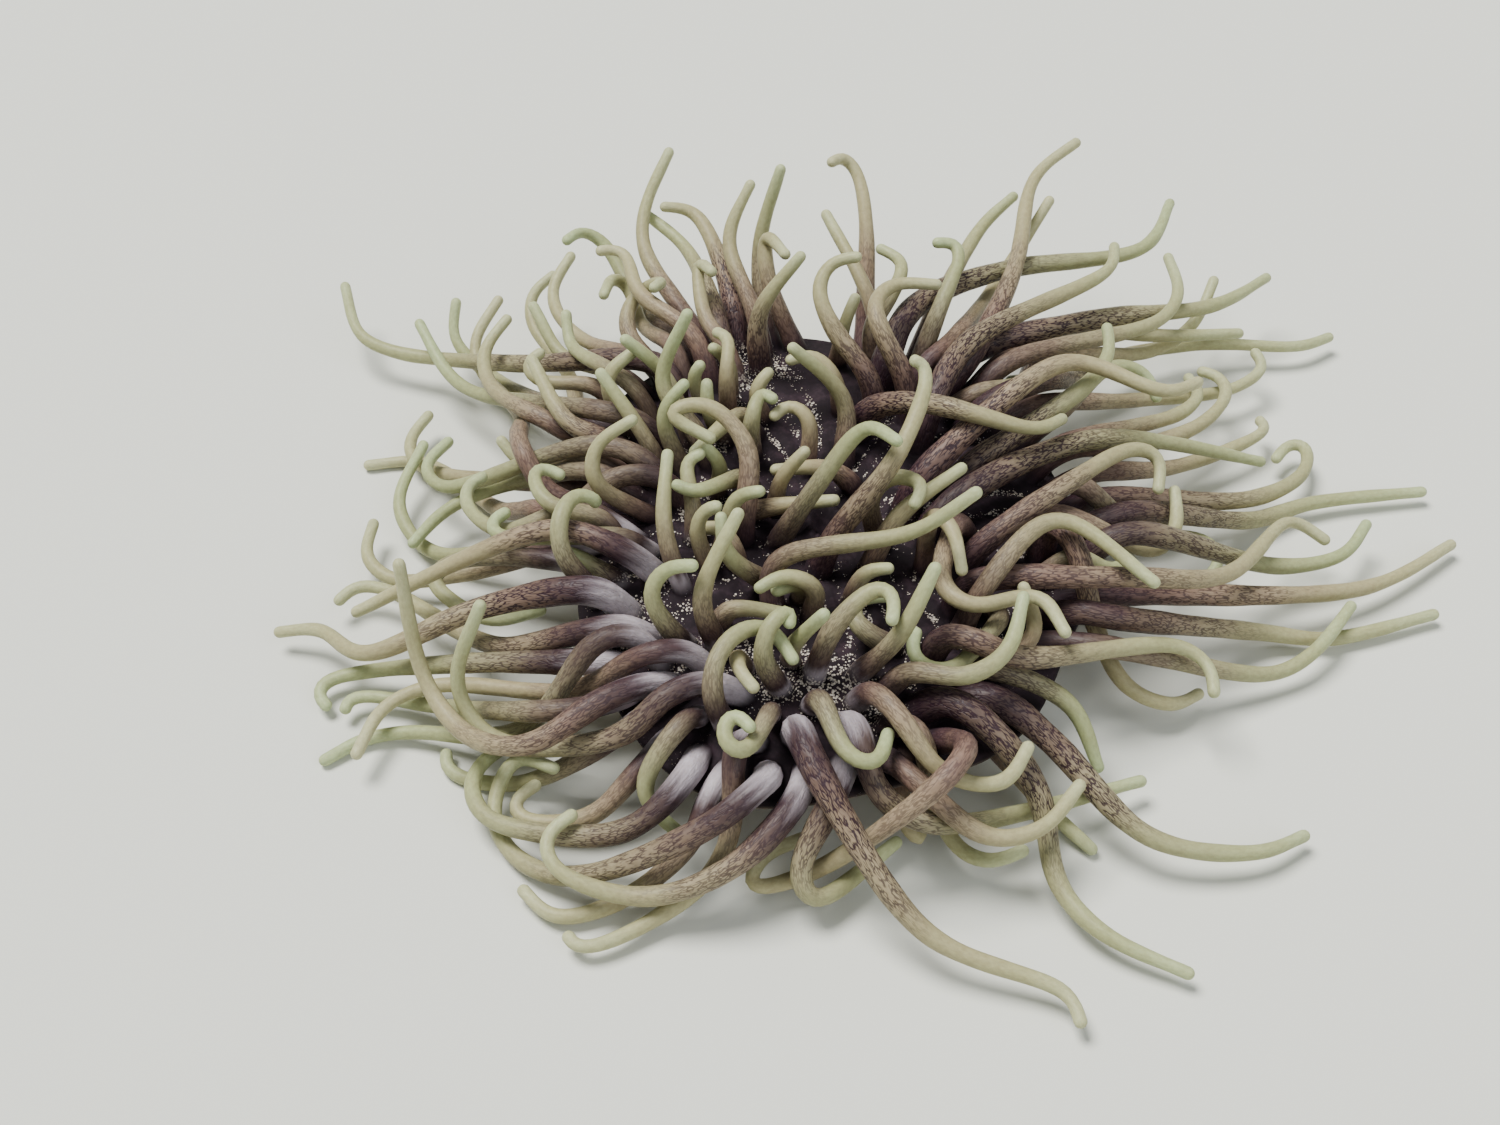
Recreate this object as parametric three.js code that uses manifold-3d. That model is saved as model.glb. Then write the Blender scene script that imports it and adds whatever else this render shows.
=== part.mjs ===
// Leathery sea anemone, life size, in millimetres: +Z up, the pedal disc centred on the origin and
// standing on Z = 0.  The side that faces -Y is the front.
//
// The foot, the column and the crown (the oral disc) come from a few sizes and outline functions.
// Each tentacle is a soft tapered limb: a root on the crown, the few bends that its shape needs,
// and how high its middle and its tip are held.  A short settling loop then lets the limbs push one
// another apart, as soft limbs do, so that they lie over and beside each other and never through.
import * as THREE from 'three';
import { mergeVertices } from 'three/addons/utils/BufferGeometryUtils.js';
import ManifoldModule from 'manifold-3d';

const wasm = await ManifoldModule();
wasm.setup();

// ---------------------------------------------------------------- driving sizes (mm)
const GAP = 0.35;                       // clearance between two nodes that touch in life
const FLOOR_CLEARANCE = 0.15;           // limbs that lie on the floor stop this far above it

const FOOT_RADIUS = 40;
const FOOT_HEIGHT = 5;
const WAIST_RADIUS = 33;
const COLUMN_SIDES = 16;                // facets round the column and the foot
const COLUMN_TOP = 15.5;                // where the column meets the underside of the crown
const COLUMN_SHARE = 0.62;              // share of the crown's radius that sits on the column
const RIM_THICKNESS = 3.2;
const ROOT_SHARE = 0.93;                // no limb roots nearer the rim than this
const STALK = 5;                        // a limb leaves the crown this far before it bends
const ROOT_LIFT = 0.7;                  // gap under the root of a limb that is a node of its own
const ROOT_SINK = 1.4;                  // how deep a joined limb's root goes into the crown
const CROWN_MEAN_RADIUS = 68;
const CROWN_CENTRE = [2, -7];
const CROWN_HEIGHT = 25;                // top of the crown at mid radius
const CROWN_EDGE_DROP = 5.5;            // how far the rim rolls down
const MOUTH_RADIUS = 8;
const SECTORS = 8;
const SECTOR_STEPS = 4;                 // facets across one sector
const CROWN_RINGS = [0, COLUMN_SHARE, 0.86, 1];

const OWN_SIDES = 5;                    // facets round a limb that is a node of its own
const JOINED_SIDES = 4;                 // and round one joined to the crown
const TIP_RADIUS = 1.45;
const TIP_LENGTH = 1.7;                 // from a limb's last ring to its tip
const FACET_SWELL = 1.07;               // five flats hold about the section of a round limb
const LIMB_CLEARANCE = 0.75;            // what the settling loop leaves between two limbs
const ROOT_ROUNDS = 80;
const ROOT_SPREAD = 1.12;
const SECTOR_MARGIN = 1.6;              // how far a joined root keeps from its sector's edges
const BEAD_SPACING = 3;                 // of the beads along a limb while it settles
const BEAD_ROUNDS = 140;
const BEAD_SOFTNESS = 0.5;              // how far a bead follows its neighbours' shifts
const BEADS_PASSED_OVER = 4;            // a bead is not tested against this many of its neighbours
const STIFF_BEADS = 2;                  // beads at the root that stay where they are
const JOINT_ROUNDS = 260;
const JOINT_SOFTNESS = 0.04;
const PUSH_SHARE = 0.8;                 // share of a lack of room that one push makes up
const SETTLED_LACK = 0.02;              // less than this is room enough
const LEAST_GIVE = 0.15;                // keeps two stiff roots from throwing each other far off
const PAIRING_INTERVAL = 8;             // rounds between two searches for limbs that are close
const DIVIDED_LIMBS = 7;                // the longest ones are nodes of two lengths each
const STRAIGHT_LENGTHS = 644;           // of all limbs together, the most where they curl
const FIRST_LENGTH = 9;                 // least distance from a limb's root to its first joint
const LEAST_RISE = 1.95;                 // of a limb's first joint above its root, in a node of its own
const CURL_FAVOUR = 0.2;                // above 0, tight curls get more joints than long arcs
const SMOOTHING_ROUNDS = 4;

// ---------------------------------------------------------------- crown surface
const TAU = 2 * Math.PI;

/** Radius of the crown's rim at a bearing: broad lobes with small folds on them. */
function rimRadius(bearing) {
  const lobes = 9 * Math.cos(2 * (bearing - 1.62)) + 3.2 * Math.cos(3 * (bearing - 4.25));
  const folds = 1.6 * Math.cos(7 * bearing + 0.6);
  return CROWN_MEAN_RADIUS + lobes + folds;
}

/** Height of the crown's top at a bearing and a share of the rim radius. */
function crownTop(bearing, share) {
  const dish = -2.6 * (1 - share) ** 2;
  const roll = -CROWN_EDGE_DROP * Math.max(0, (share - 0.55) / 0.45) ** 2;
  const wave = 1.5 * share * share * Math.cos(5 * bearing + 1.1);
  return CROWN_HEIGHT + dish + roll + wave;
}

/** Underside of the crown: flat where it sits on the column, then up to a thin rim. */
function crownUnder(bearing, share) {
  const seat = COLUMN_TOP + GAP;
  const rim = Math.max(seat, crownTop(bearing, 1) - RIM_THICKNESS);
  return THREE.MathUtils.lerp(seat, rim, THREE.MathUtils.smoothstep(share, COLUMN_SHARE, 1));
}

function crownPolar(x, y) {
  const dx = x - CROWN_CENTRE[0];
  const dy = y - CROWN_CENTRE[1];
  const bearing = (Math.atan2(dy, dx) + TAU) % TAU;
  return { bearing, share: Math.hypot(dx, dy) / rimRadius(bearing) };
}

function crownPoint(bearing, share, height) {
  const radius = rimRadius(bearing) * share;
  return new THREE.Vector3(
    CROWN_CENTRE[0] + radius * Math.cos(bearing),
    CROWN_CENTRE[1] + radius * Math.sin(bearing),
    height,
  );
}

function crownHeightAt(x, y) {
  const { bearing, share } = crownPolar(x, y);
  return crownTop(bearing, Math.min(share, 1));
}

/** Outward normal of the crown's top, from the slope of its height. */
function crownNormal(x, y) {
  const step = 1.5;
  const slopeX = (crownHeightAt(x + step, y) - crownHeightAt(x - step, y)) / (2 * step);
  const slopeY = (crownHeightAt(x, y + step) - crownHeightAt(x, y - step)) / (2 * step);
  return new THREE.Vector3(-slopeX, -slopeY, 1).normalize();
}

// ---------------------------------------------------------------- the limbs
// One row a limb: its base radius, the heights of its middle and its tip, then where its root,
// its bends and its tip lie as seen by an eye at EYE: each pair is the floor point behind them.
const EYE = new THREE.Vector3(-16, -349, 354);
const SLIM = 2.5;
const PLAIN = 2.9;
const LONG = 3.3;
const STOUT = 3.8;

const LIMBS = {
  // parallel arms that trail off to the left
  left: [
    [LONG, 22, 4, [-48, -2], [-62, 2], [-76, 2], [-90, -7], [-103, -14], [-112, -16], [-110, -21]],
    [STOUT, 16, 4, [-48, -9], [-64, -7], [-80, -8], [-94, -18], [-109, -26], [-118, -16], [-130, -18]],
    [LONG, 10, 6, [-40, -23], [-62, -25], [-78, -23], [-92, -13], [-103, -5], [-117, -2], [-118, -9]],
    [LONG, 9, 4, [-42, -33], [-64, -33], [-84, -32], [-102, -30], [-115, -31], [-120, -37], [-113, -42]],
    [PLAIN, 5, 4, [-42, -42], [-62, -40], [-84, -38], [-102, -37], [-111, -37], [-109, -43]],
    [LONG, 12, 46, [-38, -46], [-58, -46], [-77, -48], [-86, -36], [-87, -20], [-83, -5]],
    [LONG, 14, 50, [-40, -53], [-62, -58], [-78, -54], [-90, -38], [-99, -18], [-104, 6]],
    [PLAIN, 5, 3, [-42, -43], [-70, -42], [-92, -42], [-103, -49], [-106, -63]],
    [PLAIN, 5, 3, [-42, -49], [-70, -51], [-94, -49], [-108, -51], [-115, -58]],
    [PLAIN, 4, 6, [-42, -57], [-62, -62], [-80, -62], [-89, -56], [-86, -51]],
    [PLAIN, 17, 14, [-54, 0], [-75, 7], [-94, 6], [-98, -3], [-88, -11], [-79, -19], [-67, -13]],
  ],
  // curls that roll back over the front left of the floor
  front_left: [
    [LONG, 4, 12, [-24, -64], [-37, -80], [-56, -90], [-71, -82], [-75, -66], [-68, -53], [-59, -60]],
    [LONG, 6, 9, [-29, -62], [-42, -77], [-62, -81], [-75, -75], [-78, -60], [-72, -50], [-65, -48]],
    [PLAIN, 5, 8, [-34, -60], [-47, -72], [-63, -76], [-72, -71], [-63, -63]],
    [LONG, 6, 11, [-9, -64], [-14, -82], [-34, -96], [-54, -93], [-61, -83], [-52, -77]],
    [PLAIN, 4, 4, [-20, -66], [-27, -84], [-42, -98], [-57, -104], [-65, -94]],
    [PLAIN, 4, 4, [-14, -66], [-17, -86], [-34, -102], [-55, -110], [-55, -104]],
    [PLAIN, 14, 8, [-27, -56], [-35, -68], [-41, -78], [-38, -83], [-31, -83], [-28, -90]],
  ],
  // limbs that spill over the front rim
  front: [
    [STOUT, 8, 4, [-2, -60], [9, -77], [16, -93], [27, -112], [44, -119], [53, -121], [52, -129]],
    [PLAIN, 5, 9, [8, -64], [4, -81], [-10, -94], [-21, -96], [-16, -86], [-4, -80]],
    [LONG, 7, 5, [4, -66], [-3, -80], [-8, -90], [-3, -97], [3, -87], [16, -78]],
    [SLIM, 5, 10, [7, -64], [13, -82], [20, -88], [21, -79], [18, -75]],
    [PLAIN, 26, 28, [-1, -49], [5, -60], [13, -64], [20, -58], [25, -46]],
    [PLAIN, 20, 21, [12, -53], [25, -62], [35, -69], [42, -64], [42, -56]],
    [LONG, 12, 6, [9, -61], [24, -71], [42, -74], [58, -69], [76, -64]],
    [PLAIN, 12, 14, [12, -66], [27, -78], [40, -84], [48, -77], [55, -66]],
    [PLAIN, 5, 10, [15, -66], [27, -80], [37, -88], [47, -82]],
    [STOUT, 8, 4, [23, -48], [38, -58], [47, -70], [46, -86], [55, -105], [75, -117]],
  ],
  // limbs that lie out over the front right
  front_right: [
    [STOUT, 12, 4, [27, -42], [45, -46], [57, -60], [66, -79], [84, -84], [101, -85], [107, -80]],
    [SLIM, 9, 4, [30, -52], [41, -62], [52, -74], [60, -85]],
    [LONG, 21, 6, [36, -30], [50, -33], [61, -42], [65, -54], [65, -64]],
    [LONG, 22, 18, [26, -30], [42, -34], [58, -31], [74, -25], [88, -24], [94, -32], [92, -40]],
    [LONG, 18, 5, [57, 10], [62, -8], [67, -24], [71, -41], [83, -47], [91, -41]],
    [PLAIN, 32, 40, [16, -44], [33, -42], [44, -34], [49, -22], [51, -10]],
    [PLAIN, 32, 34, [40, 18], [34, 2], [33, -15], [42, -18], [55, -8], [60, -23]],
    [SLIM, 22, 24, [38, -10], [36, -24], [28, -33], [21, -27], [27, -20]],
    [SLIM, 26, 36, [40, -28], [52, -24], [55, -12], [52, 1]],
  ],
  // the broad fan on the right
  right: [
    [LONG, 24, 8, [36, -12], [56, -10], [75, -3], [98, -3], [113, 9], [122, 19], [129, 9]],
    [PLAIN, 40, 38, [35, -18], [43, -1], [55, 16], [64, 21], [73, 8], [80, -4], [85, -4]],
    [LONG, 8, 4, [66, -12], [86, -8], [110, -7], [134, -6], [150, 2], [162, 12]],
    [LONG, 6, 4, [66, -18], [86, -14], [108, -16], [124, -19], [140, -14], [153, -11]],
    [PLAIN, 5, 6, [64, -24], [84, -26], [102, -33], [116, -28], [124, -14], [130, -8]],
    [LONG, 8, 8, [68, -2], [90, 0], [112, 0], [130, 5], [139, 18]],
    [LONG, 8, 6, [64, 26], [86, 25], [106, 22], [124, 31], [134, 44], [130, 52], [123, 42]],
    [LONG, 6, 4, [64, 20], [88, 20], [110, 21], [128, 28], [146, 27], [158, 31]],
    [PLAIN, 18, 24, [56, 14], [70, 16], [84, 8], [93, 10], [96, 22], [96, 33]],
    [PLAIN, 16, 8, [57, 22], [74, 24], [92, 15], [104, 17], [107, 8], [99, 0]],
    [SLIM, 24, 26, [58, -2], [68, 5], [74, 14], [77, 21]],
    [LONG, 36, 26, [34, 2], [54, 20], [76, 37], [90, 46], [94, 37], [89, 27]],
    [STOUT, 34, 12, [28, 14], [48, 38], [70, 51], [88, 50], [104, 41], [119, 42]],
    [PLAIN, 10, 8, [66, 34], [84, 38], [103, 43], [119, 52], [126, 57], [121, 60]],
    [PLAIN, 14, 12, [64, 40], [82, 45], [102, 54], [114, 67], [113, 78], [107, 78]],
    [PLAIN, 18, 14, [62, 46], [80, 51], [98, 59], [108, 69], [104, 76]],
  ],
  // the back right
  back_right: [
    [STOUT, 46, 44, [24, 22], [42, 48], [64, 77], [76, 81], [92, 69], [102, 68], [108, 74]],
    [STOUT, 42, 48, [34, 28], [52, 51], [70, 69], [82, 82], [87, 96], [86, 104]],
    [STOUT, 48, 40, [12, 54], [18, 65], [36, 66], [52, 58], [61, 57], [67, 64]],
    [PLAIN, 34, 22, [56, 56], [72, 77], [87, 87], [95, 78], [94, 68]],
    [LONG, 24, 14, [58, 66], [65, 92], [76, 98], [92, 91], [110, 89], [124, 91]],
    [LONG, 12, 6, [60, 74], [80, 90], [100, 93], [124, 96], [140, 92], [149, 97]],
    [PLAIN, 8, 14, [64, 62], [90, 68], [112, 71], [126, 80], [129, 88], [124, 91]],
    [STOUT, 22, 16, [52, 78], [76, 88], [100, 99], [120, 106], [134, 119]],
    [PLAIN, 24, 30, [54, 84], [80, 88], [100, 101], [107, 120], [105, 133]],
    [PLAIN, 14, 26, [60, 80], [94, 92], [114, 107], [122, 127]],
    [STOUT, 40, 40, [28, 60], [40, 85], [58, 103], [76, 120], [91, 127], [92, 139]],
    [STOUT, 34, 32, [38, 78], [48, 104], [62, 122], [84, 128], [102, 132], [113, 157]],
    [PLAIN, 30, 26, [46, 66], [58, 80], [64, 83], [53, 83]],
    [LONG, 40, 50, [44, 92], [58, 124], [67, 154], [72, 178], [87, 193]],
    [PLAIN, 34, 40, [40, 94], [47, 122], [53, 147], [66, 165]],
    [PLAIN, 30, 44, [48, 92], [58, 128], [70, 150], [76, 166]],
  ],
  // the back
  back: [
    [LONG, 46, 58, [26, 62], [17, 79], [8, 97], [3, 115], [7, 132], [17, 133]],
    [LONG, 50, 50, [34, 62], [28, 82], [20, 102], [24, 120], [40, 119]],
    [PLAIN, 44, 46, [32, 84], [33, 112], [32, 134], [25, 135]],
    [PLAIN, 44, 48, [38, 88], [43, 118], [48, 142], [39, 139]],
    [PLAIN, 46, 58, [12, 92], [13, 128], [17, 165], [13, 188], [8, 181]],
    [PLAIN, 40, 56, [8, 90], [11, 122], [11, 150], [9, 174]],
    [SLIM, 38, 46, [16, 88], [14, 122], [12, 142], [4, 154]],
    [LONG, 44, 56, [-16, 82], [-15, 102], [-7, 123], [0, 135]],
    [PLAIN, 40, 50, [-9, 90], [-12, 124], [-12, 146], [-5, 133]],
    [PLAIN, 38, 60, [-12, 92], [-14, 128], [-11, 156], [-6, 181]],
    [PLAIN, 36, 52, [-17, 90], [-21, 122], [-24, 150], [-16, 171]],
    [STOUT, 34, 40, [-20, 88], [-22, 118], [-31, 144], [-36, 160], [-45, 158]],
    [LONG, 30, 36, [-24, 84], [-28, 112], [-34, 140], [-48, 157]],
    [SLIM, 38, 44, [-24, 76], [-30, 100], [-34, 126], [-30, 134], [-27, 124]],
    [PLAIN, 32, 50, [-34, 82], [-44, 118], [-49, 152], [-41, 190]],
    [SLIM, 40, 44, [8, 84], [10, 102], [16, 106], [15, 115]],
  ],
  // the back left
  back_left: [
    [PLAIN, 30, 40, [-36, 78], [-50, 112], [-58, 136], [-65, 151], [-72, 142]],
    [PLAIN, 30, 34, [-38, 74], [-48, 108], [-52, 130], [-60, 127]],
    [PLAIN, 14, 22, [-48, 74], [-68, 94], [-80, 110], [-80, 124], [-73, 130]],
    [SLIM, 18, 26, [-52, 68], [-68, 86], [-71, 99], [-77, 111]],
    [SLIM, 22, 30, [-46, 64], [-60, 78], [-66, 90], [-64, 97]],
    [PLAIN, 28, 32, [-44, 76], [-51, 98], [-47, 113], [-42, 106], [-47, 100]],
    [SLIM, 24, 30, [-50, 62], [-65, 61], [-79, 71], [-78, 80], [-73, 82]],
    [LONG, 6, 14, [-58, 60], [-82, 73], [-106, 79], [-126, 90], [-130, 104], [-134, 117]],
    [PLAIN, 9, 20, [-60, 54], [-82, 70], [-95, 83], [-95, 96], [-89, 113]],
    [PLAIN, 8, 22, [-60, 58], [-84, 76], [-98, 89], [-105, 104], [-103, 116]],
    [PLAIN, 8, 16, [-62, 50], [-84, 64], [-98, 78], [-109, 101]],
    [PLAIN, 16, 26, [-56, 48], [-74, 56], [-84, 74], [-86, 87], [-80, 100]],
    [PLAIN, 6, 10, [-62, 44], [-84, 51], [-97, 55], [-101, 67], [-95, 77]],
    [LONG, 32, 36, [-57, 40], [-62, 52], [-66, 68], [-76, 87]],
    [PLAIN, 5, 4, [-61, 34], [-82, 37], [-100, 48], [-117, 45]],
    [PLAIN, 7, 10, [-61, 29], [-82, 29], [-95, 27], [-102, 38], [-95, 49]],
    [SLIM, 20, 28, [-58, 34], [-71, 37], [-76, 46], [-77, 57]],
    [PLAIN, 5, 8, [-60, 18], [-80, 19], [-99, 13], [-107, 26], [-101, 50]],
    [PLAIN, 8, 6, [-60, 24], [-84, 31], [-98, 21], [-103, 8]],
    [PLAIN, 5, 8, [-60, 10], [-84, 4], [-104, -1], [-113, 6], [-112, 21]],
    [SLIM, 18, 22, [-58, 8], [-74, 12], [-88, 24], [-89, 37], [-84, 37]],
    [SLIM, 24, 26, [-52, 4], [-68, 5], [-81, 2], [-83, 13], [-77, 14]],
    [SLIM, 20, 30, [-46, 68], [-64, 91], [-75, 114], [-69, 134]],
    [SLIM, 26, 38, [-42, 70], [-48, 94], [-50, 117], [-55, 128], [-59, 116]],
  ],
  // the limbs that stand up inside the crown
  inner: [
    [PLAIN, 42, 52, [-36, -34], [-37, -20], [-42, -8], [-38, 2], [-29, 2]],
    [PLAIN, 48, 60, [-25, -28], [-28, -8], [-26, 7], [-23, 21], [-18, 26]],
    [PLAIN, 44, 38, [-26, -58], [-27, -36], [-19, -19], [-10, -22], [-8, -33]],
    [SLIM, 34, 32, [-13, -56], [-23, -64], [-25, -54], [-20, -47], [-16, -57]],
    [SLIM, 34, 30, [-22, -38], [-20, -34], [-19, -42], [-13, -48]],
    [PLAIN, 46, 42, [-11, -42], [-12, -24], [-4, -9], [0, -10], [-5, -18]],
    [SLIM, 38, 50, [-4, -32], [-5, -26], [0, -17], [4, -12]],
    [PLAIN, 48, 46, [1, -38], [4, -17], [14, -3], [22, -5], [20, -18]],
    [PLAIN, 44, 56, [8, -38], [16, -23], [26, -10], [30, 6]],
    [PLAIN, 44, 62, [-8, -10], [6, 3], [26, 11], [39, 19], [50, 31]],
    [PLAIN, 52, 64, [-6, 8], [0, 30], [9, 50], [15, 59], [24, 50]],
    [PLAIN, 50, 48, [8, 12], [14, 30], [24, 38], [31, 31], [25, 23]],
    [LONG, 56, 66, [1, 2], [14, 27], [26, 52], [33, 74], [34, 88], [29, 85]],
    [PLAIN, 40, 46, [-8, -6], [-18, 1], [-23, 10], [-20, 18]],
    [PLAIN, 34, 44, [-22, -8], [-28, 6], [-35, 14]],
    [SLIM, 40, 48, [-34, -4], [-41, 16], [-44, 34], [-41, 47]],
    [PLAIN, 40, 38, [-50, -4], [-62, 12], [-63, 26], [-55, 32], [-52, 23], [-57, 28]],
    [SLIM, 38, 36, [-56, 2], [-66, 15], [-76, 32], [-72, 40], [-66, 34]],
    [SLIM, 30, 36, [-52, -4], [-66, 8], [-70, 20]],
    [SLIM, 40, 50, [-52, 16], [-59, 34], [-60, 50], [-48, 61]],
    [SLIM, 38, 42, [-30, 12], [-33, 36], [-36, 48], [-29, 47]],
    [PLAIN, 38, 36, [-12, 30], [-22, 36], [-31, 27], [-33, 34]],
    [SLIM, 36, 42, [-24, 2], [-29, 18], [-27, 31], [-22, 29]],
    [SLIM, 38, 42, [-18, 6], [-23, 22], [-18, 34], [-13, 30]],
    [PLAIN, 52, 44, [-9, 18], [-14, 44], [-30, 69], [-41, 60], [-24, 52]],
    [PLAIN, 42, 40, [-18, 42], [-20, 64], [-15, 76], [-11, 67]],
    [SLIM, 40, 38, [2, 40], [-4, 66], [-12, 69], [-15, 60]],
    [PLAIN, 40, 56, [8, 40], [5, 66], [-3, 79], [-10, 90]],
    [SLIM, 40, 40, [9, 62], [7, 80], [1, 90], [-6, 84]],
    [SLIM, 34, 42, [-12, 40], [-12, 53]],
    [SLIM, 34, 44, [-3, 40], [-4, 57]],
    [SLIM, 32, 38, [1, 32], [-1, 53]],
    [PLAIN, 42, 60, [-37, 44], [-43, 72], [-38, 92], [-34, 107]],
    [SLIM, 40, 56, [-30, 56], [-28, 80], [-31, 101]],
    [SLIM, 36, 44, [-27, 66], [-22, 93], [-27, 94]],
    [SLIM, 34, 38, [-48, 52], [-49, 82], [-40, 89]],
    [SLIM, 34, 40, [-34, 58], [-35, 78], [-29, 84]],
    [SLIM, 36, 42, [-38, 42], [-38, 68], [-30, 76]],
    [SLIM, 34, 44, [-45, 40], [-51, 67], [-58, 80]],
    [SLIM, 34, 46, [-43, 48], [-48, 76], [-59, 90]],
    [SLIM, 34, 48, [-46, 60], [-52, 88], [-56, 103]],
    [SLIM, 38, 46, [48, 54], [52, 75]],
    [SLIM, 46, 38, [28, 2], [32, 17], [36, 23], [39, 20], [40, 6], [40, -3]],
    [SLIM, 34, 30, [-4, -12], [-12, -4], [-20, -6], [-23, -14]],
    [SLIM, 36, 32, [-17, -1], [-22, 13], [-29, 17], [-32, 11]],
    [SLIM, 44, 42, [-25, 59], [-24, 76], [-22, 91], [-24, 98], [-27, 94]],
    [PLAIN, 34, 32, [21, -25], [12, -24], [8, -18], [9, -10], [14, -7], [19, -9]],
    [PLAIN, 36, 32, [-24, -24], [-23, -12], [-18, -6], [-12, -4], [-5, -8]],
    [PLAIN, 30, 30, [12, 34], [1, 38], [-7, 36], [-12, 34]],
    [PLAIN, 32, 30, [-16, 52], [-22, 46], [-28, 39], [-32, 36]],
    [PLAIN, 44, 48, [13, 1], [17, 13], [24, 26], [32, 36], [41, 42]],
    [SLIM, 36, 42, [-11, 20], [-10, 35], [-5, 45], [-2, 46]],
    [SLIM, 36, 38, [-19, 26], [-20, 38], [-23, 46], [-26, 45]],
    [PLAIN, 36, 38, [-3, 18], [-2, 31], [3, 37], [6, 33]],
    [SLIM, 36, 38, [-13, 57], [-16, 68], [-14, 78], [-10, 80]],
    [SLIM, 38, 44, [-23, 49], [-27, 58], [-30, 68], [-28, 75]],
    [SLIM, 36, 42, [3, 49], [6, 59], [10, 67]],
    [SLIM, 34, 34, [8, -9], [12, 2], [16, 6], [20, 3]],
    [SLIM, 34, 32, [-6, -8], [-10, -1], [-14, 1], [-17, -2]],
  ],
};

// ---------------------------------------------------------------- from rows to settled limbs

/** Where an eye at EYE sees the floor point [x, y] when something of this height covers it. */
function seenOver([x, y], height) {
  const floor = new THREE.Vector3(x, y, 0);
  return floor.lerp(EYE, height / EYE.z);
}

/** A spot on the crown kept clear of the mouth, the rim and, if joined, its sector's edges. */
function keptOnCrown(spot) {
  const polar = crownPolar(spot.x, spot.y);
  const nearest = (MOUTH_RADIUS + spot.girth + 3) / rimRadius(polar.bearing);
  const share = THREE.MathUtils.clamp(polar.share, nearest, ROOT_SHARE);
  let { bearing } = polar;
  if (spot.joined) {
    const width = TAU / SECTORS;
    const sector = Math.floor(bearing / width);
    const margin = (spot.girth * FACET_SWELL + SECTOR_MARGIN) / (share * rimRadius(bearing));
    bearing = THREE.MathUtils.clamp(bearing, sector * width + margin, (sector + 1) * width - margin);
  }
  const point = crownPoint(bearing, share, crownTop(bearing, share));
  return { ...spot, bearing, share, point, x: point.x, y: point.y };
}

/** Where the limbs root: as seen, then spread until no two roots touch. */
function spreadRoots(rows) {
  let roots = rows.map(([girth, , , pair]) => {
    let seen = seenOver(pair, CROWN_HEIGHT);
    for (let pass = 0; pass < 3; pass += 1) seen = seenOver(pair, crownHeightAt(seen.x, seen.y));
    return keptOnCrown({ x: seen.x, y: seen.y, girth, joined: girth < LONG });
  });
  for (let round = 0; round < ROOT_ROUNDS; round += 1) {
    for (let i = 0; i < roots.length; i += 1) {
      for (let j = i + 1; j < roots.length; j += 1) {
        const [dx, dy] = [roots[i].x - roots[j].x, roots[i].y - roots[j].y];
        const distance = Math.hypot(dx, dy) || 0.01;
        const lack = ROOT_SPREAD * (roots[i].girth + roots[j].girth) + 1 - distance;
        if (lack > 0) {
          const push = 0.5 * lack / distance;
          roots[i].x += push * dx;
          roots[i].y += push * dy;
          roots[j].x -= push * dx;
          roots[j].y -= push * dy;
        }
      }
    }
    roots = roots.map(keptOnCrown);
  }
  return roots;
}

function limbRadius(girth, share) {
  const taper = Math.min(1, share / 0.94) ** 0.9;
  return THREE.MathUtils.lerp(girth, TIP_RADIUS, taper);
}

/** A limb as beads along a smooth curve through its root, its bends and its tip. */
function beadLimb(name, root, [girth, middle, end, rootPair, ...bends]) {
  const pairs = [rootPair, ...bends];
  const run = [0];
  for (let i = 1; i < pairs.length; i += 1) {
    run.push(run[i - 1] + Math.hypot(pairs[i][0] - pairs[i - 1][0], pairs[i][1] - pairs[i - 1][1]));
  }
  const points = bends.map((pair, i) => {
    const share = run[i + 1] / run[run.length - 1];
    const height = share < 0.5
      ? THREE.MathUtils.lerp(root.point.z + girth, middle, share * 2)
      : THREE.MathUtils.lerp(middle, end, share * 2 - 1);
    return seenOver(pair, height);
  });
  const normal = crownNormal(root.point.x, root.point.y);
  const stalk = root.point.clone().addScaledVector(normal, STALK);
  const towards = points[0].clone().sub(root.point).setLength(STALK * 0.5);
  const route = [root.point, stalk.add(towards), ...points];
  const curve = new THREE.CatmullRomCurve3(route, false, 'centripetal');
  const count = Math.max(6, Math.round(curve.getLength() / BEAD_SPACING));
  return { name, girth, joined: root.joined, root, normal, beads: curve.getSpacedPoints(count) };
}

/** Lifts a point until a ball of this radius clears the floor and the crown. */
function clearOfBody(point, radius) {
  point.z = Math.max(point.z, radius + FLOOR_CLEARANCE);
  const { bearing, share } = crownPolar(point.x, point.y);
  const outside = (share - 1) * rimRadius(bearing);
  const reach = radius + GAP;
  const top = crownTop(bearing, Math.min(share, 1));
  if (outside <= 0) {
    point.z = Math.max(point.z, top + reach);
  } else if (outside < reach && point.z < top + reach) {
    const needed = Math.sqrt(reach * reach - outside * outside);
    if (point.z > top) {
      point.z = Math.max(point.z, top + needed);
    } else {
      const push = (reach - outside) * 0.5;
      point.x += push * Math.cos(bearing);
      point.y += push * Math.sin(bearing);
    }
  }
}

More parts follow.
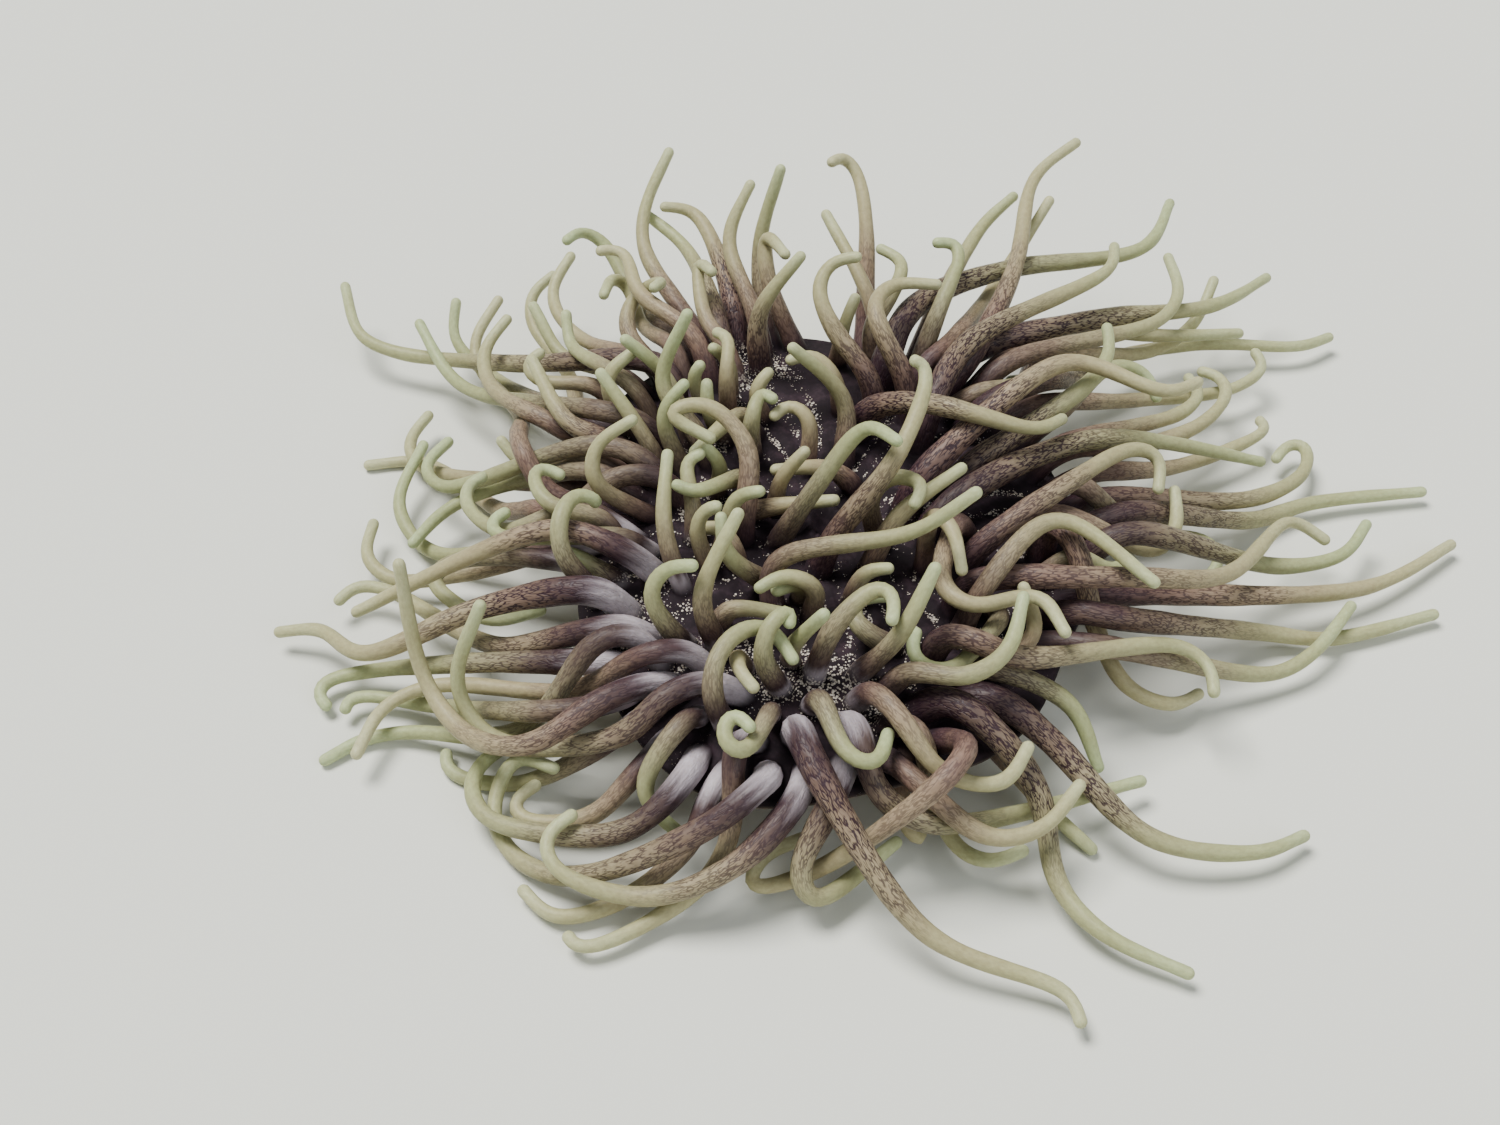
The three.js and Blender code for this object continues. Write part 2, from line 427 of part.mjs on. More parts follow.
/** Nearest points of the lengths a-b and c-d, as shares along each. */
function nearestShares(a, b, c, d) {
  const u = along.u.subVectors(b, a);
  const v = along.v.subVectors(d, c);
  const w = along.w.subVectors(a, c);
  const uu = u.dot(u);
  const uv = u.dot(v);
  const vv = v.dot(v);
  const uw = u.dot(w);
  const vw = v.dot(w);
  const spread = uu * vv - uv * uv;
  const free = spread > 1e-9 ? unit((uv * vw - vv * uw) / spread) : 0.5;
  const t = unit((uv * free + vw) / vv);
  return [unit((uv * t - uw) / uu), t];
}

const along = { u: new THREE.Vector3(), v: new THREE.Vector3(), w: new THREE.Vector3() };

function unit(value) {
  return value < 0 ? 0 : Math.min(value, 1);
}

/** Pairs of lengths whose middles are near enough for them to touch, found on a coarse grid. */
function closePairs(lengths) {
  const middles = lengths.map(({ chain, i }) => chain.at[i].clone().lerp(chain.at[i + 1], 0.5));
  const reaches = lengths.map(({ chain, i }) => (
    chain.at[i].distanceTo(chain.at[i + 1]) / 2 + chain.radius[i] + LIMB_CLEARANCE + 0.5
  ));
  const cell = 2 * Math.max(...reaches);
  const grid = new Map();
  const key = (i, j, k) => i + 256 * (j + 256 * k);
  const cellOf = (value) => Math.floor(value / cell) + 100;
  const pairs = [];
  lengths.forEach((first, index) => {
    const { x, y, z } = middles[index];
    const [i, j, k] = [cellOf(x), cellOf(y), cellOf(z)];
    for (let di = -1; di <= 1; di += 1) {
      for (let dj = -1; dj <= 1; dj += 1) {
        for (let dk = -1; dk <= 1; dk += 1) {
          for (const other of grid.get(key(i + di, j + dj, k + dk)) ?? []) {
            const second = lengths[other];
            const neighbours = first.chain === second.chain
              && Math.abs(first.i - second.i) <= first.chain.selfSkip;
            const reach = reaches[index] + reaches[other];
            if (!neighbours && middles[index].distanceToSquared(middles[other]) < reach * reach) {
              pairs.push([first, second]);
            }
          }
        }
      }
    }
    const home = key(i, j, k);
    if (!grid.has(home)) grid.set(home, []);
    grid.get(home).push(index);
  });
  return pairs;
}

/** Lets chains push each other apart until none are closer than their radii and a clearance. */
function settle(chains, rounds, softness) {
  const lengths = chains.flatMap((chain) => chain.at.slice(1).map((_, i) => ({ chain, i })));
  let pairs = [];
  for (let round = 0; round < rounds; round += 1) {
    if (round % PAIRING_INTERVAL === 0) pairs = closePairs(lengths);
    let worst = 0;
    for (const [first, second] of pairs) worst = Math.max(worst, pushApart(first, second));
    for (const chain of chains) relaxChain(chain, softness);
    if (worst < SETTLED_LACK) break;
  }
}

/** Pushes two lengths apart where they come too close, and says how much too close they were. */
function pushApart(first, second) {
  const a = first.chain.at[first.i];
  const b = first.chain.at[first.i + 1];
  const c = second.chain.at[second.i];
  const d = second.chain.at[second.i + 1];
  const [s, t] = nearestShares(a, b, c, d);
  const offset = along.w.lerpVectors(a, b, s).sub(along.u.lerpVectors(c, d, t));
  const distance = offset.length();
  const wanted = lengthRadius(first, s) + lengthRadius(second, t) + LIMB_CLEARANCE;
  if (distance >= wanted) return 0;
  if (distance < 1e-4) offset.set(0, 0, 1);
  offset.normalize();
  const [easeA, easeB] = [first.chain.ease[first.i], first.chain.ease[first.i + 1]];
  const [easeC, easeD] = [second.chain.ease[second.i], second.chain.ease[second.i + 1]];
  const give = (1 - s) ** 2 * easeA + s * s * easeB + (1 - t) ** 2 * easeC + t * t * easeD;
  const push = PUSH_SHARE * (wanted - distance) / Math.max(give, LEAST_GIVE);
  a.addScaledVector(offset, push * (1 - s) * easeA);
  b.addScaledVector(offset, push * s * easeB);
  c.addScaledVector(offset, -push * (1 - t) * easeC);
  d.addScaledVector(offset, -push * t * easeD);
  return wanted - distance;
}

function lengthRadius({ chain, i }, share) {
  return THREE.MathUtils.lerp(chain.radius[i], chain.radius[i + 1], share);
}

/** Smooths what settling did to a chain without pulling it back. */
function smoothChain(chain, rounds) {
  for (let round = 0; round < rounds; round += 1) {
    const before = chain.at.map((point) => point.clone());
    for (let i = 1; i + 1 < before.length; i += 1) {
      const mean = before[i - 1].clone().add(before[i + 1]).multiplyScalar(0.5);
      chain.at[i].lerp(mean, 0.5);
      clearOfBody(chain.at[i], chain.radius[i]);
    }
  }
}

/** Spreads a chain's shifts along it, so that it bends softly, and keeps it off the body. */
function relaxChain(chain, softness) {
  const { at, rest, ease, radius } = chain;
  const shift = at.map((point, i) => point.clone().sub(rest[i]));
  for (let i = 1; i < at.length; i += 1) {
    const next = shift[Math.min(i + 1, at.length - 1)];
    const mean = shift[i - 1].clone().add(next).multiplyScalar(0.5);
    at[i].copy(rest[i]).add(shift[i].clone().lerp(mean, softness * Math.min(1, ease[i])));
    if (ease[i] > 0) clearOfBody(at[i], radius[i]);
  }
}

function makeChain(limb, points, selfSkip, fixed) {
  const last = points.length - 1;
  const run = [0];
  for (let i = 1; i <= last; i += 1) run.push(run[i - 1] + points[i].distanceTo(points[i - 1]));
  return {
    limb,
    at: points.map((point) => point.clone()),
    rest: points.map((point) => point.clone()),
    radius: run.map((along) => FACET_SWELL * limbRadius(limb.girth, along / run[last])),
    ease: points.map((_, i) => (i < fixed ? 0 : Math.min(1, (i - fixed + 1) / (fixed + 1)))),
    run: run[last],
    selfSkip,
  };
}

/** A straight length of a limb, and the bead between its ends that it strays from most. */
function straightLength(chain, from, to) {
  const line = new THREE.Line3(chain.at[from], chain.at[to]);
  const nearest = new THREE.Vector3();
  let [stray, worst] = [0, Math.round((from + to) / 2)];
  for (let i = from + 1; i < to; i += 1) {
    if (chain.at[i].distanceTo(chain.at[0]) < FIRST_LENGTH) continue;
    const away = line.closestPointToPoint(chain.at[i], true, nearest).distanceTo(chain.at[i]);
    if (away > stray) [stray, worst] = [away, i];
  }
  const coarseness = stray / Math.max(1, line.distance()) ** CURL_FAVOUR;
  return { chain, from, to, coarseness, worst };
}

/** A limb's first lengths: one that is a node of its own always has a joint near its root. */
function firstLengths(chain) {
  const end = chain.at.length - 1;
  if (chain.limb.joined) return [straightLength(chain, 0, end)];
  const near = chain.at.findIndex((point) => point.distanceTo(chain.at[0]) > FIRST_LENGTH);
  return [straightLength(chain, 0, near), straightLength(chain, near, end)];
}

/** The joints of all limbs: the length that follows its curve most coarsely is parted first. */
function chooseJoints(chains) {
  const lengths = chains.flatMap(firstLengths);
  while (lengths.length < STRAIGHT_LENGTHS) {
    const { chain, from, to, worst } = lengths.reduce((p, q) => (q.coarseness > p.coarseness ? q : p));
    const parted = lengths.findIndex((length) => length.chain === chain && length.from === from);
    lengths.splice(parted, 1, straightLength(chain, from, worst), straightLength(chain, worst, to));
  }
  return chains.map((chain) => {
    const ends = lengths.filter((length) => length.chain === chain).map(({ to }) => to);
    return [0, ...ends.sort((p, q) => p - q)].map((i) => chain.at[i]);
  });
}

// ---------------------------------------------------------------- solids

/** A closed solid from a stack of rings; the ends are capped flat, or by a point for a tip. */
function loft(rings, tip = null) {
  const sides = rings[0].length;
  const vertices = rings.flat();
  const faces = [];
  for (let ring = 0; ring + 1 < rings.length; ring += 1) {
    for (let side = 0; side < sides; side += 1) {
      const a = ring * sides + side;
      const b = ring * sides + (side + 1) % sides;
      faces.push([a, b, b + sides], [a, b + sides, a + sides]);
    }
  }
  for (let side = 1; side + 1 < sides; side += 1) faces.push([0, side + 1, side]);
  const top = (rings.length - 1) * sides;
  if (tip) {
    const apex = vertices.push(tip) - 1;
    for (let side = 0; side < sides; side += 1) {
      faces.push([top + side, top + (side + 1) % sides, apex]);
    }
  } else {
    for (let side = 1; side + 1 < sides; side += 1) faces.push([top, top + side, top + side + 1]);
  }
  return solid(vertices, faces);
}

function solid(vertices, faces) {
  const geometry = new THREE.BufferGeometry();
  const positions = vertices.flatMap((vertex) => vertex.toArray());
  geometry.setAttribute('position', new THREE.Float32BufferAttribute(positions, 3));
  geometry.setIndex(faces.flat());
  return geometry;
}

function ringPoints({ centre, radius, across, up, sides }) {
  return Array.from({ length: sides }, (_, side) => {
    const angle = TAU * side / sides;
    return centre.clone()
      .addScaledVector(across, radius * Math.cos(angle))
      .addScaledVector(up, radius * Math.sin(angle));
  });
}

/** Cross-section frames carried along a chain without twist. */
function carriedFrames(points, startNormal) {
  const last = points.length - 1;
  const step = (i) => points[i + 1].clone().sub(points[i]).normalize();
  const tangents = points.map((_, i) => {
    if (i === 0) return startNormal.clone();
    if (i === last) return step(last - 1);
    return step(i - 1).add(step(i)).normalize();
  });
  let across = new THREE.Vector3(0, 0, 1).cross(tangents[0]);
  if (across.length() < 1e-3) across.set(1, 0, 0);
  return tangents.map((tangent) => {
    across = across.clone().addScaledVector(tangent, -across.dot(tangent)).normalize();
    return { tangent, across, up: tangent.clone().cross(across) };
  });
}

/** The rings of a settled limb, from its root on the crown to the last before the tip. */
function limbRings({ limb, at, radius }) {
  const sink = limb.joined ? -ROOT_SINK : ROOT_LIFT;
  const points = at.map((point) => point.clone());
  points[0] = limb.root.point.clone().addScaledVector(limb.normal, sink);
  const rise = points[1].clone().sub(points[0]).dot(limb.normal);
  if (!limb.joined) points[1].addScaledVector(limb.normal, Math.max(0, LEAST_RISE - rise));
  const last = points.length - 1;
  const tip = points[last].clone();
  points[last].add(points[last - 1].clone().sub(tip).setLength(TIP_LENGTH));
  const frames = carriedFrames(points, limb.normal);
  const sides = limb.joined ? JOINED_SIDES : OWN_SIDES;
  const rings = points.map((point, i) => ({ centre: point, radius: radius[i], sides, ...frames[i] }));
  return { rings, tip };
}

/** Cuts a limb's rings into lengths with a clear gap between them. */
function limbLengths(name, { rings, tip }, parts) {
  if (parts === 1) return [[name, loft(rings.map(ringPoints), tip)]];
  const cut = Math.round(rings.length * 0.5);
  const shifted = (ring, by) => (
    { ...ring, centre: ring.centre.clone().addScaledVector(ring.tangent, by) }
  );
  const base = [...rings.slice(0, cut), shifted(rings[cut], -GAP / 2)];
  const end = [shifted(rings[cut], GAP / 2), ...rings.slice(cut + 1)];
  return [
    [`${name}_base`, loft(base.map(ringPoints))],
    [`${name}_tip`, loft(end.map(ringPoints), tip)],
  ];
}

/** A turned solid with a flat underside and top, from [radius, height] pairs. */
function turned(profile, sides, ripple) {
  const rings = profile.map(([radius, height]) => Array.from({ length: sides }, (_, side) => {
    const angle = TAU * side / sides;
    const reach = radius * (1 + ripple * Math.cos(6 * angle));
    return new THREE.Vector3(reach * Math.cos(angle), reach * Math.sin(angle), height);
  }));
  return loft(rings);
}

/** The foot: a flat disc with a rolled edge, which stands on the floor. */
function pedalDisc() {
  const profile = [[FOOT_RADIUS, 0], [FOOT_RADIUS + 1, 2], [FOOT_RADIUS - 3, FOOT_HEIGHT]];
  return turned(profile, COLUMN_SIDES, 0.02);
}

/** The short contracted column, with a waist, from the foot up to the crown. */
function column() {
  const profile = [
    [WAIST_RADIUS + 2, FOOT_HEIGHT + GAP],
    [WAIST_RADIUS, (FOOT_HEIGHT + COLUMN_TOP) / 2],
    [WAIST_RADIUS + 5, COLUMN_TOP],
  ];
  return turned(profile, COLUMN_SIDES, 0.015);
}

/** One sector of the crown: a wedge from the mouth out to the lobed rim. */
function crownSector(index) {
  const width = TAU / SECTORS;
  const postsAt = (step) => CROWN_RINGS.map((ringShare) => {
    const middle = (index + step / SECTOR_STEPS) * width;
    const inner = (MOUTH_RADIUS + GAP) / rimRadius(middle);
    const share = THREE.MathUtils.lerp(inner, 1, ringShare);
    const inset = step === 0 ? 1 : (step === SECTOR_STEPS ? -1 : 0);
    const bearing = middle + inset * (GAP / 2) / (share * rimRadius(middle));
    return {
      top: crownPoint(bearing, share, crownTop(bearing, share)),
      under: crownPoint(bearing, share, crownUnder(bearing, share)),
    };
  });
  const rings = Array.from({ length: SECTOR_STEPS + 1 }, (_, step) => {
    const posts = postsAt(step);
    return [...posts.map((post) => post.top), ...posts.map((post) => post.under).reverse()];
  });
  return loft(rings);
}

/** The mouth: a low cone with a pair of lips round a shallow slit. */
function mouth() {
  const sides = 12;
  const level = crownTop(0, MOUTH_RADIUS / CROWN_MEAN_RADIUS);
  const heights = [COLUMN_TOP + GAP, level, level + 3.2, level + 3.4, level + 1.4];
  const radii = [MOUTH_RADIUS, MOUTH_RADIUS, MOUTH_RADIUS * 0.72, MOUTH_RADIUS * 0.45, MOUTH_RADIUS * 0.25];
  const rings = heights.map((height, i) => Array.from({ length: sides }, (_, side) => {
    const angle = TAU * side / sides;
    const narrow = i < 2 ? 1 : 0.8;
    return new THREE.Vector3(
      CROWN_CENTRE[0] + radii[i] * Math.cos(angle),
      CROWN_CENTRE[1] + radii[i] * narrow * Math.sin(angle),
      height,
    );
  }));
  return loft(rings);
}

// ---------------------------------------------------------------- joining solids
function toManifold(geometry) {
  const merged = mergeVertices(geometry, 1e-4);
  return new wasm.Manifold(new wasm.Mesh({
    numProp: 3,
    vertProperties: merged.attributes.position.array,
    triVerts: new Uint32Array(merged.index.array),
  }));
}

function fromManifold(body) {
  const mesh = body.getMesh();
  const geometry = new THREE.BufferGeometry();
  const positions = Float32Array.from(mesh.vertProperties);
  geometry.setAttribute('position', new THREE.BufferAttribute(positions, 3));
  geometry.setIndex([...mesh.triVerts]);
  return geometry;
}

function joinSolids(geometries) {
  return fromManifold(geometries.map(toManifold).reduce((whole, piece) => whole.add(piece)));
}

// ---------------------------------------------------------------- the animal
const group = new THREE.Group();
const flesh = (name, color) => new THREE.MeshStandardMaterial({ name, color, roughness: 0.65 });
const TENTACLE = flesh('tentacle_flesh', 0x8c8258);
const CROWN = flesh('crown_flesh', 0x46363d);
const COLUMN = flesh('column_flesh', 0x8d8072);

function addNode(name, geometry, material) {
  const mesh = new THREE.Mesh(geometry, material);
  mesh.name = name;
  group.add(mesh);
}

const namedRows = Object.entries(LIMBS).flatMap(([side, rows]) => (
  rows.map((row, i) => [`${side}_${String(i + 1).padStart(2, '0')}`, row])
));
const roots = spreadRoots(namedRows.map(([, row]) => row));
const limbs = namedRows.map(([name, row], i) => beadLimb(name, roots[i], row));

const beadChains = limbs.map((limb) => makeChain(limb, limb.beads, BEADS_PASSED_OVER, STIFF_BEADS));
settle(beadChains, BEAD_ROUNDS, BEAD_SOFTNESS);
beadChains.forEach((chain) => smoothChain(chain, SMOOTHING_ROUNDS));
const joints = chooseJoints(beadChains);
const jointChains = beadChains.map(({ limb }, i) => makeChain(limb, joints[i], 1, 1));
settle(jointChains, JOINT_ROUNDS, JOINT_SOFTNESS);

const lengthsFirst = jointChains
  .filter(({ limb }) => !limb.joined)
  .sort((p, q) => q.run - p.run);
const divided = new Set(lengthsFirst.slice(0, DIVIDED_LIMBS));

const rimWidth = TAU / SECTORS;
const grown = Array.from({ length: SECTORS }, (_, index) => [crownSector(index)]);
for (const chain of jointChains) {
  const { limb } = chain;
  const shape = limbRings(chain);
  if (limb.joined) {
    const sector = Math.floor(limb.root.bearing / rimWidth);
    grown[sector].push(loft(shape.rings.map(ringPoints), shape.tip));
  } else {
    const lengths = limbLengths(`tentacle_${limb.name}`, shape, divided.has(chain) ? 2 : 1);
    lengths.forEach(([name, geometry]) => addNode(name, geometry, TENTACLE));
  }
}
grown.forEach((pieces, index) => addNode(`crown_sector_${index + 1}`, joinSolids(pieces), CROWN));

addNode('pedal_disc', pedalDisc(), COLUMN);
addNode('column', column(), COLUMN);
addNode('mouth', mouth(), CROWN);

export default group;
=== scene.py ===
"""Leathery sea anemone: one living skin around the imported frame, on a pale studio floor.

Limbs are read from the frame's nodes, as rings of vertices from the tip back to the root.  A smooth
round tube follows each one and grows out of the crown without a seam, and the crown rolls over its
rim into the column and the foot, so that the whole skin is one closed mesh.  The slim limbs that
are a single straight length in the CAD show one ring only, and are passed over.

Lengths are in millimetres, and meshes are written in metres.
"""
import math

import bpy
import numpy as np
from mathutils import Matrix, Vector, geometry
from mathutils.kdtree import KDTree


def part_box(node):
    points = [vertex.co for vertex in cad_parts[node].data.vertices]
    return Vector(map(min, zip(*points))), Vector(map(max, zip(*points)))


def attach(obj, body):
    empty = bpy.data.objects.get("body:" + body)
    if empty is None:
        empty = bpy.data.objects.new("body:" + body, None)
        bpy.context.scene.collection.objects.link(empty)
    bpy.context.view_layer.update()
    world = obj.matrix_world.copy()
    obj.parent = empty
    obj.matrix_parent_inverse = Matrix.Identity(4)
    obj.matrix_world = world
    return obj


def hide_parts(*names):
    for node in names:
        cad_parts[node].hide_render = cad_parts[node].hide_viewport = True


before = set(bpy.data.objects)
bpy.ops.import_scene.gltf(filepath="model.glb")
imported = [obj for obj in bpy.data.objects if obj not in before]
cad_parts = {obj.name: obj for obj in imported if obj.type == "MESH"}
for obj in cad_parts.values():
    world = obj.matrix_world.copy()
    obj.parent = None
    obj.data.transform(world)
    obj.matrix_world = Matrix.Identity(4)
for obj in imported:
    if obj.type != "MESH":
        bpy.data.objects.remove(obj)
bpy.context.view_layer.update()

TAU = 2 * math.pi
METRE = 1000.0              # millimetres in one

# ------------------------------------------------------------------ the body's sizes, as in the CAD
CROWN_CENTRE = np.array([2.0, -7.0])
CROWN_MEAN_RADIUS = 68.0
CROWN_HEIGHT = 25.0
CROWN_EDGE_DROP = 5.5       # how far the rim rolls down
RIM_THICKNESS = 3.2
MOUTH_RADIUS = 8.0
ROOT_SHARE = 0.93           # of the rim's radius, past which the CAD roots no limb
OWN_SIDES = 5               # of a limb that is a node of its own
JOINED_SIDES = 4            # of a slim limb that is part of a sector of the crown
FACET_SWELL = 1.07          # the CAD's flat-sided limbs are this much wider than the round ones
TIP_RADIUS = 1.45
TAPER_END = 0.94            # of a limb's length, past which it thins no more
TAPER_POWER = 0.9
COLUMN_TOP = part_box("column")[1][2] * METRE
COLUMN_SHARE = 0.62         # of the rim's radius, where the column's shoulder starts
WAIST_RADIUS = 33.0
FOOT_RADIUS = 40.0
FOOT_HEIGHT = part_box("pedal_disc")[1][2] * METRE

# ------------------------------------------------------------------ finer relief than the CAD's
LIP_RADIUS = 4.6            # the mouth's lips are a low ribbed ring of this radius
LIP_WIDTH = 2.3
LIP_RISE = 3.1
LIP_RIBS = 16
SLIT_DEPTH = 1.2            # the dip between the lips
SLIT_WIDTH = 1.6
FURROWS = 40                # round the crown
FURROW_DEPTH = 0.42
WAIST_FLARE = 4.0           # the column widens by this at its top
FOOT_FLARE_SHARE = 0.6      # of that flare, by which it widens at its foot
SHOULDER_DROP = 0.6         # how far the skin comes down on its way in to the column
WARTS_ROUND = 30            # in each row of warts
WART_ROW_HEIGHT = 3.4
WART_RISE = 0.55

# ------------------------------------------------------------------ the limbs' tubes
RING_TOLERANCE = 1.02       # a ring's corners are equally far from its centre within this ratio
FEWEST_OWN_RINGS = 1
FEWEST_JOINED_RINGS = 2     # leaves out the joined limbs of a single straight length
CURVE_STEPS = 16            # between two of the points that a curve passes through
LEAST_BEADS = 6             # the fewest steps between beads on a limb
SIDES = 12                  # of a round tube
RING_SPACING = 1.7
LEAST_RINGS = 3             # the fewest steps between rings along a tube
ROOT_RINGS = (0.0, 0.5, 1.1, 1.9)   # distances of the rings nearest the root
CAP_ANGLES = np.radians([28, 50, 68, 80])   # of the rings round the tip
ROOT_FLARE = 0.22           # a root widens by this share where it leaves the crown
FLARE_LENGTH = 1.6
PALE_ROOT_NARROWING = 0.12  # of the radius, at a root that is pale
PALE_ROOT_LENGTH = 5.0
BROAD_SWELL = 0.035         # of the radius, by which a limb swells unevenly
BROAD_SWELL_RUN = 5.3       # one swell is TAU times as long
FINE_SWELL = 0.02
FINE_SWELL_RUN = 2.1
TANGENT_REACH = 0.8         # a tube's direction is taken over this far to each side
TURNING_LENGTH = 5.0        # over which a limb turns from the crown's normal to its own way
PATTERN_STRIDE = 61.0       # keeps each limb's markings its own

# ------------------------------------------------------------------ how the limbs settle
EASING_ROUNDS = 5
ROOT_GAP = 0.3              # between the roots' rings on the crown
ROOT_ROUNDS = 60
FOLLOW_SHARE = 0.5          # of a bead's shift, by which the next one follows a root that slides
HELD_BEADS = 1              # next to the root, which stay where they are
FREEING_BEADS = 3           # over which the beads after those become free to move
LIMB_CLEARANCE = 0.12
FLOOR_CLEARANCE = 0.02
SETTLING_ROUNDS = 24
PUSH_SHARE = 0.35           # of the missing room, which each of two beads moves in one round
BEADS_PASSED_OVER = 6       # a bead is not tested against this many of its neighbours
SEARCH_MARGIN = 5.0         # past twice a bead's radius, in which other beads are looked for

# ------------------------------------------------------------------ markings
PALE_BEARING = math.radians(228)   # towards the crown's front left edge
SAND_DRIFTS = [             # each drift's x and y, and its reach
    (-39, -37, 7), (-19, -48, 5), (-9, -57, 6), (-1, -54, 7), (8, -62, 7), (21, -4, 6), (-17, 52, 9),
]

# ------------------------------------------------------------------ the crown's and column's mesh
RIM_STEPS = 220             # vertices in each ring from the rim down to the foot
SPOT_SPACING = 1.25         # of the crown's vertices
MOUTH_SPOT_SPACING = 0.7
MOUTH_SPOT_REACH = 12.0     # the spacing is fine within this
FIRST_SPOT_SHARE = 0.012    # of the rim's radius, at the innermost row of the crown's vertices
LAST_SPOT_SHARE = 0.985
ROW_STEP = 0.9              # of the spacing, between one row and the next
SPOT_CLEARANCE = 0.45       # between the crown's vertices and a limb's root
RIM_CLEARANCE = 0.4         # the rim's underside stays this far above the column's top
UNDERSIDE_RINGS = 12
SHOULDER_RINGS = 4
COLUMN_RINGS = 12
RIM_ROLL = (25, 50, 75, 105, 130, 155)   # degrees round the rolled rim
LOOK_TURNS = 75             # degrees round it where the crown's look starts to give way
MAP_MARGIN = 0.8            # between two patches of the map
MAP_SLACK = 1.06            # the map's side, over that of a square with the patches' area

RNG = np.random.default_rng(20)


def smoothstep(low, high, value):
    """Goes smoothly from 0 to 1 as the value goes from low to high."""
    share = np.clip((value - low) / (high - low), 0, 1)
    return share * share * (3 - 2 * share)


# ------------------------------------------------------------------ crown surface
def rim_radius(bearing):
    """Radius of the crown's rim: broad lobes with small folds on them."""
    lobes = 9 * np.cos(2 * (bearing - 1.62)) + 3.2 * np.cos(3 * (bearing - 4.25))
    folds = 1.6 * np.cos(7 * bearing + 0.6)
    return CROWN_MEAN_RADIUS + lobes + folds


def plain_top(bearing, share):
    """Height of the crown's top at a bearing and a share of the rim's radius."""
    dish = -2.6 * (1 - share) ** 2
    roll = -CROWN_EDGE_DROP * np.maximum(0, (share - 0.55) / 0.45) ** 2
    wave = 1.5 * share * share * np.cos(5 * bearing + 1.1)
    return CROWN_HEIGHT + dish + roll + wave


def crown_polar(xy):
    """Bearing of a place from the crown's centre, its share of the rim's radius, and reach."""
    away = np.asarray(xy) - CROWN_CENTRE
    bearing = np.arctan2(away[..., 1], away[..., 0])
    reach = np.hypot(away[..., 0], away[..., 1])
    return bearing, reach / rim_radius(bearing), reach


def crown_plan(bearing, share):
    """The place in plan at a bearing and a share of the rim's radius."""
    reach = share * rim_radius(bearing)
    return np.stack([CROWN_CENTRE[0] + reach * np.cos(bearing),
                     CROWN_CENTRE[1] + reach * np.sin(bearing)], axis=-1)


def mouth_lips(bearing, reach):
    """The mouth: a low ring of ribbed lips round a slit."""
    oval = reach * (1 + 0.18 * np.cos(2 * bearing))
    ribs = 1 + 0.16 * np.cos(LIP_RIBS * bearing)
    lips = LIP_RISE * ribs * np.exp(-((oval - LIP_RADIUS) / LIP_WIDTH) ** 2)
    return lips - SLIT_DEPTH * np.exp(-(oval / SLIT_WIDTH) ** 2)


def furrows(bearing, reach):
    """Shallow furrows that run from the mouth out between the limbs."""
    fade = smoothstep(MOUTH_RADIUS, MOUTH_RADIUS + 6, reach) * (1 - smoothstep(52, 62, reach))
    waving = np.cos(FURROWS * bearing + 2.2 * np.sin(3 * bearing + reach / 11))
    return FURROW_DEPTH * fade * waving


def top_height(xy):
    """Height of the skin on the crown at places in plan."""
    bearing, share, reach = crown_polar(xy)
    plain = plain_top(bearing, np.minimum(share, 1))
    return plain + mouth_lips(bearing, reach) + furrows(bearing, reach)


def sand_share(xy):
    """How thickly sand lies at places on the crown: in a few drifts and in the furrows."""
    bearing, _, reach = crown_polar(xy)
    drifts = sum(
        np.exp(-((xy[:, 0] - x) ** 2 + (xy[:, 1] - y) ** 2) / size ** 2)
        for x, y, size in SAND_DRIFTS)
    return np.clip(0.3 + drifts - 0.8 * furrows(bearing, reach), 0, 1.5)


def top_normal(xy):
    """Direction straight out of the skin on the crown at a place in plan."""
    step = 0.6
    east = top_height(xy + np.array([step, 0])) - top_height(xy - np.array([step, 0]))
    north = top_height(xy + np.array([0, step])) - top_height(xy - np.array([0, step]))
    normal = np.array([-east / (2 * step), -north / (2 * step), 1.0])
    return normal / np.linalg.norm(normal)


# ------------------------------------------------------------------ limbs read from the frame
class Welded:
    """A node's vertices in millimetres, with equal places as one, and what each is joined to."""

    def __init__(self, node):
        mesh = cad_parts[node].data
        number = {}
        spot_of = []
        for vertex in mesh.vertices:
            key = tuple(round(c * METRE, 3) for c in vertex.co)
            spot_of.append(number.setdefault(key, len(number)))
        self.places = np.array(list(number))
        self.beside = [set() for _ in number]
        for edge in mesh.edges:
            a, b = (spot_of[v] for v in edge.vertices)
            if a != b:
                self.beside[a].add(b)
                self.beside[b].add(a)

    def is_ring(self, spots, sides):
        """True where the spots are the corners of a regular cross-section."""
        if len(spots) != sides:
            return False
        corners = self.places[list(spots)]
        reach = np.linalg.norm(corners - corners.mean(axis=0), axis=1)
        return reach.max() < RING_TOLERANCE * reach.min()

    def rings_from(self, spots, seen, sides):
        """Rings found one after another from a first one, and the spots after the last."""
        rings = []
        while self.is_ring(spots, sides):
            corners = self.places[list(spots)]
            centre = corners.mean(axis=0)
            rings.append((centre, np.linalg.norm(corners - centre, axis=1).mean()))
            seen = seen | spots
            spots = set().union(*(self.beside[spot] for spot in spots)) - seen
        return rings, spots

    def limbs(self, sides, fewest):
        """Limbs with the fewest rings or more: each one's tip, rings and the spots at its root."""
        found = []
        for spot, near in enumerate(self.beside):
            if len(near) == sides and self.is_ring(near, sides):
                rings, after = self.rings_from(set(near), {spot}, sides)
                if len(rings) >= fewest:
                    found.append((self.places[spot], rings, after))
        return found


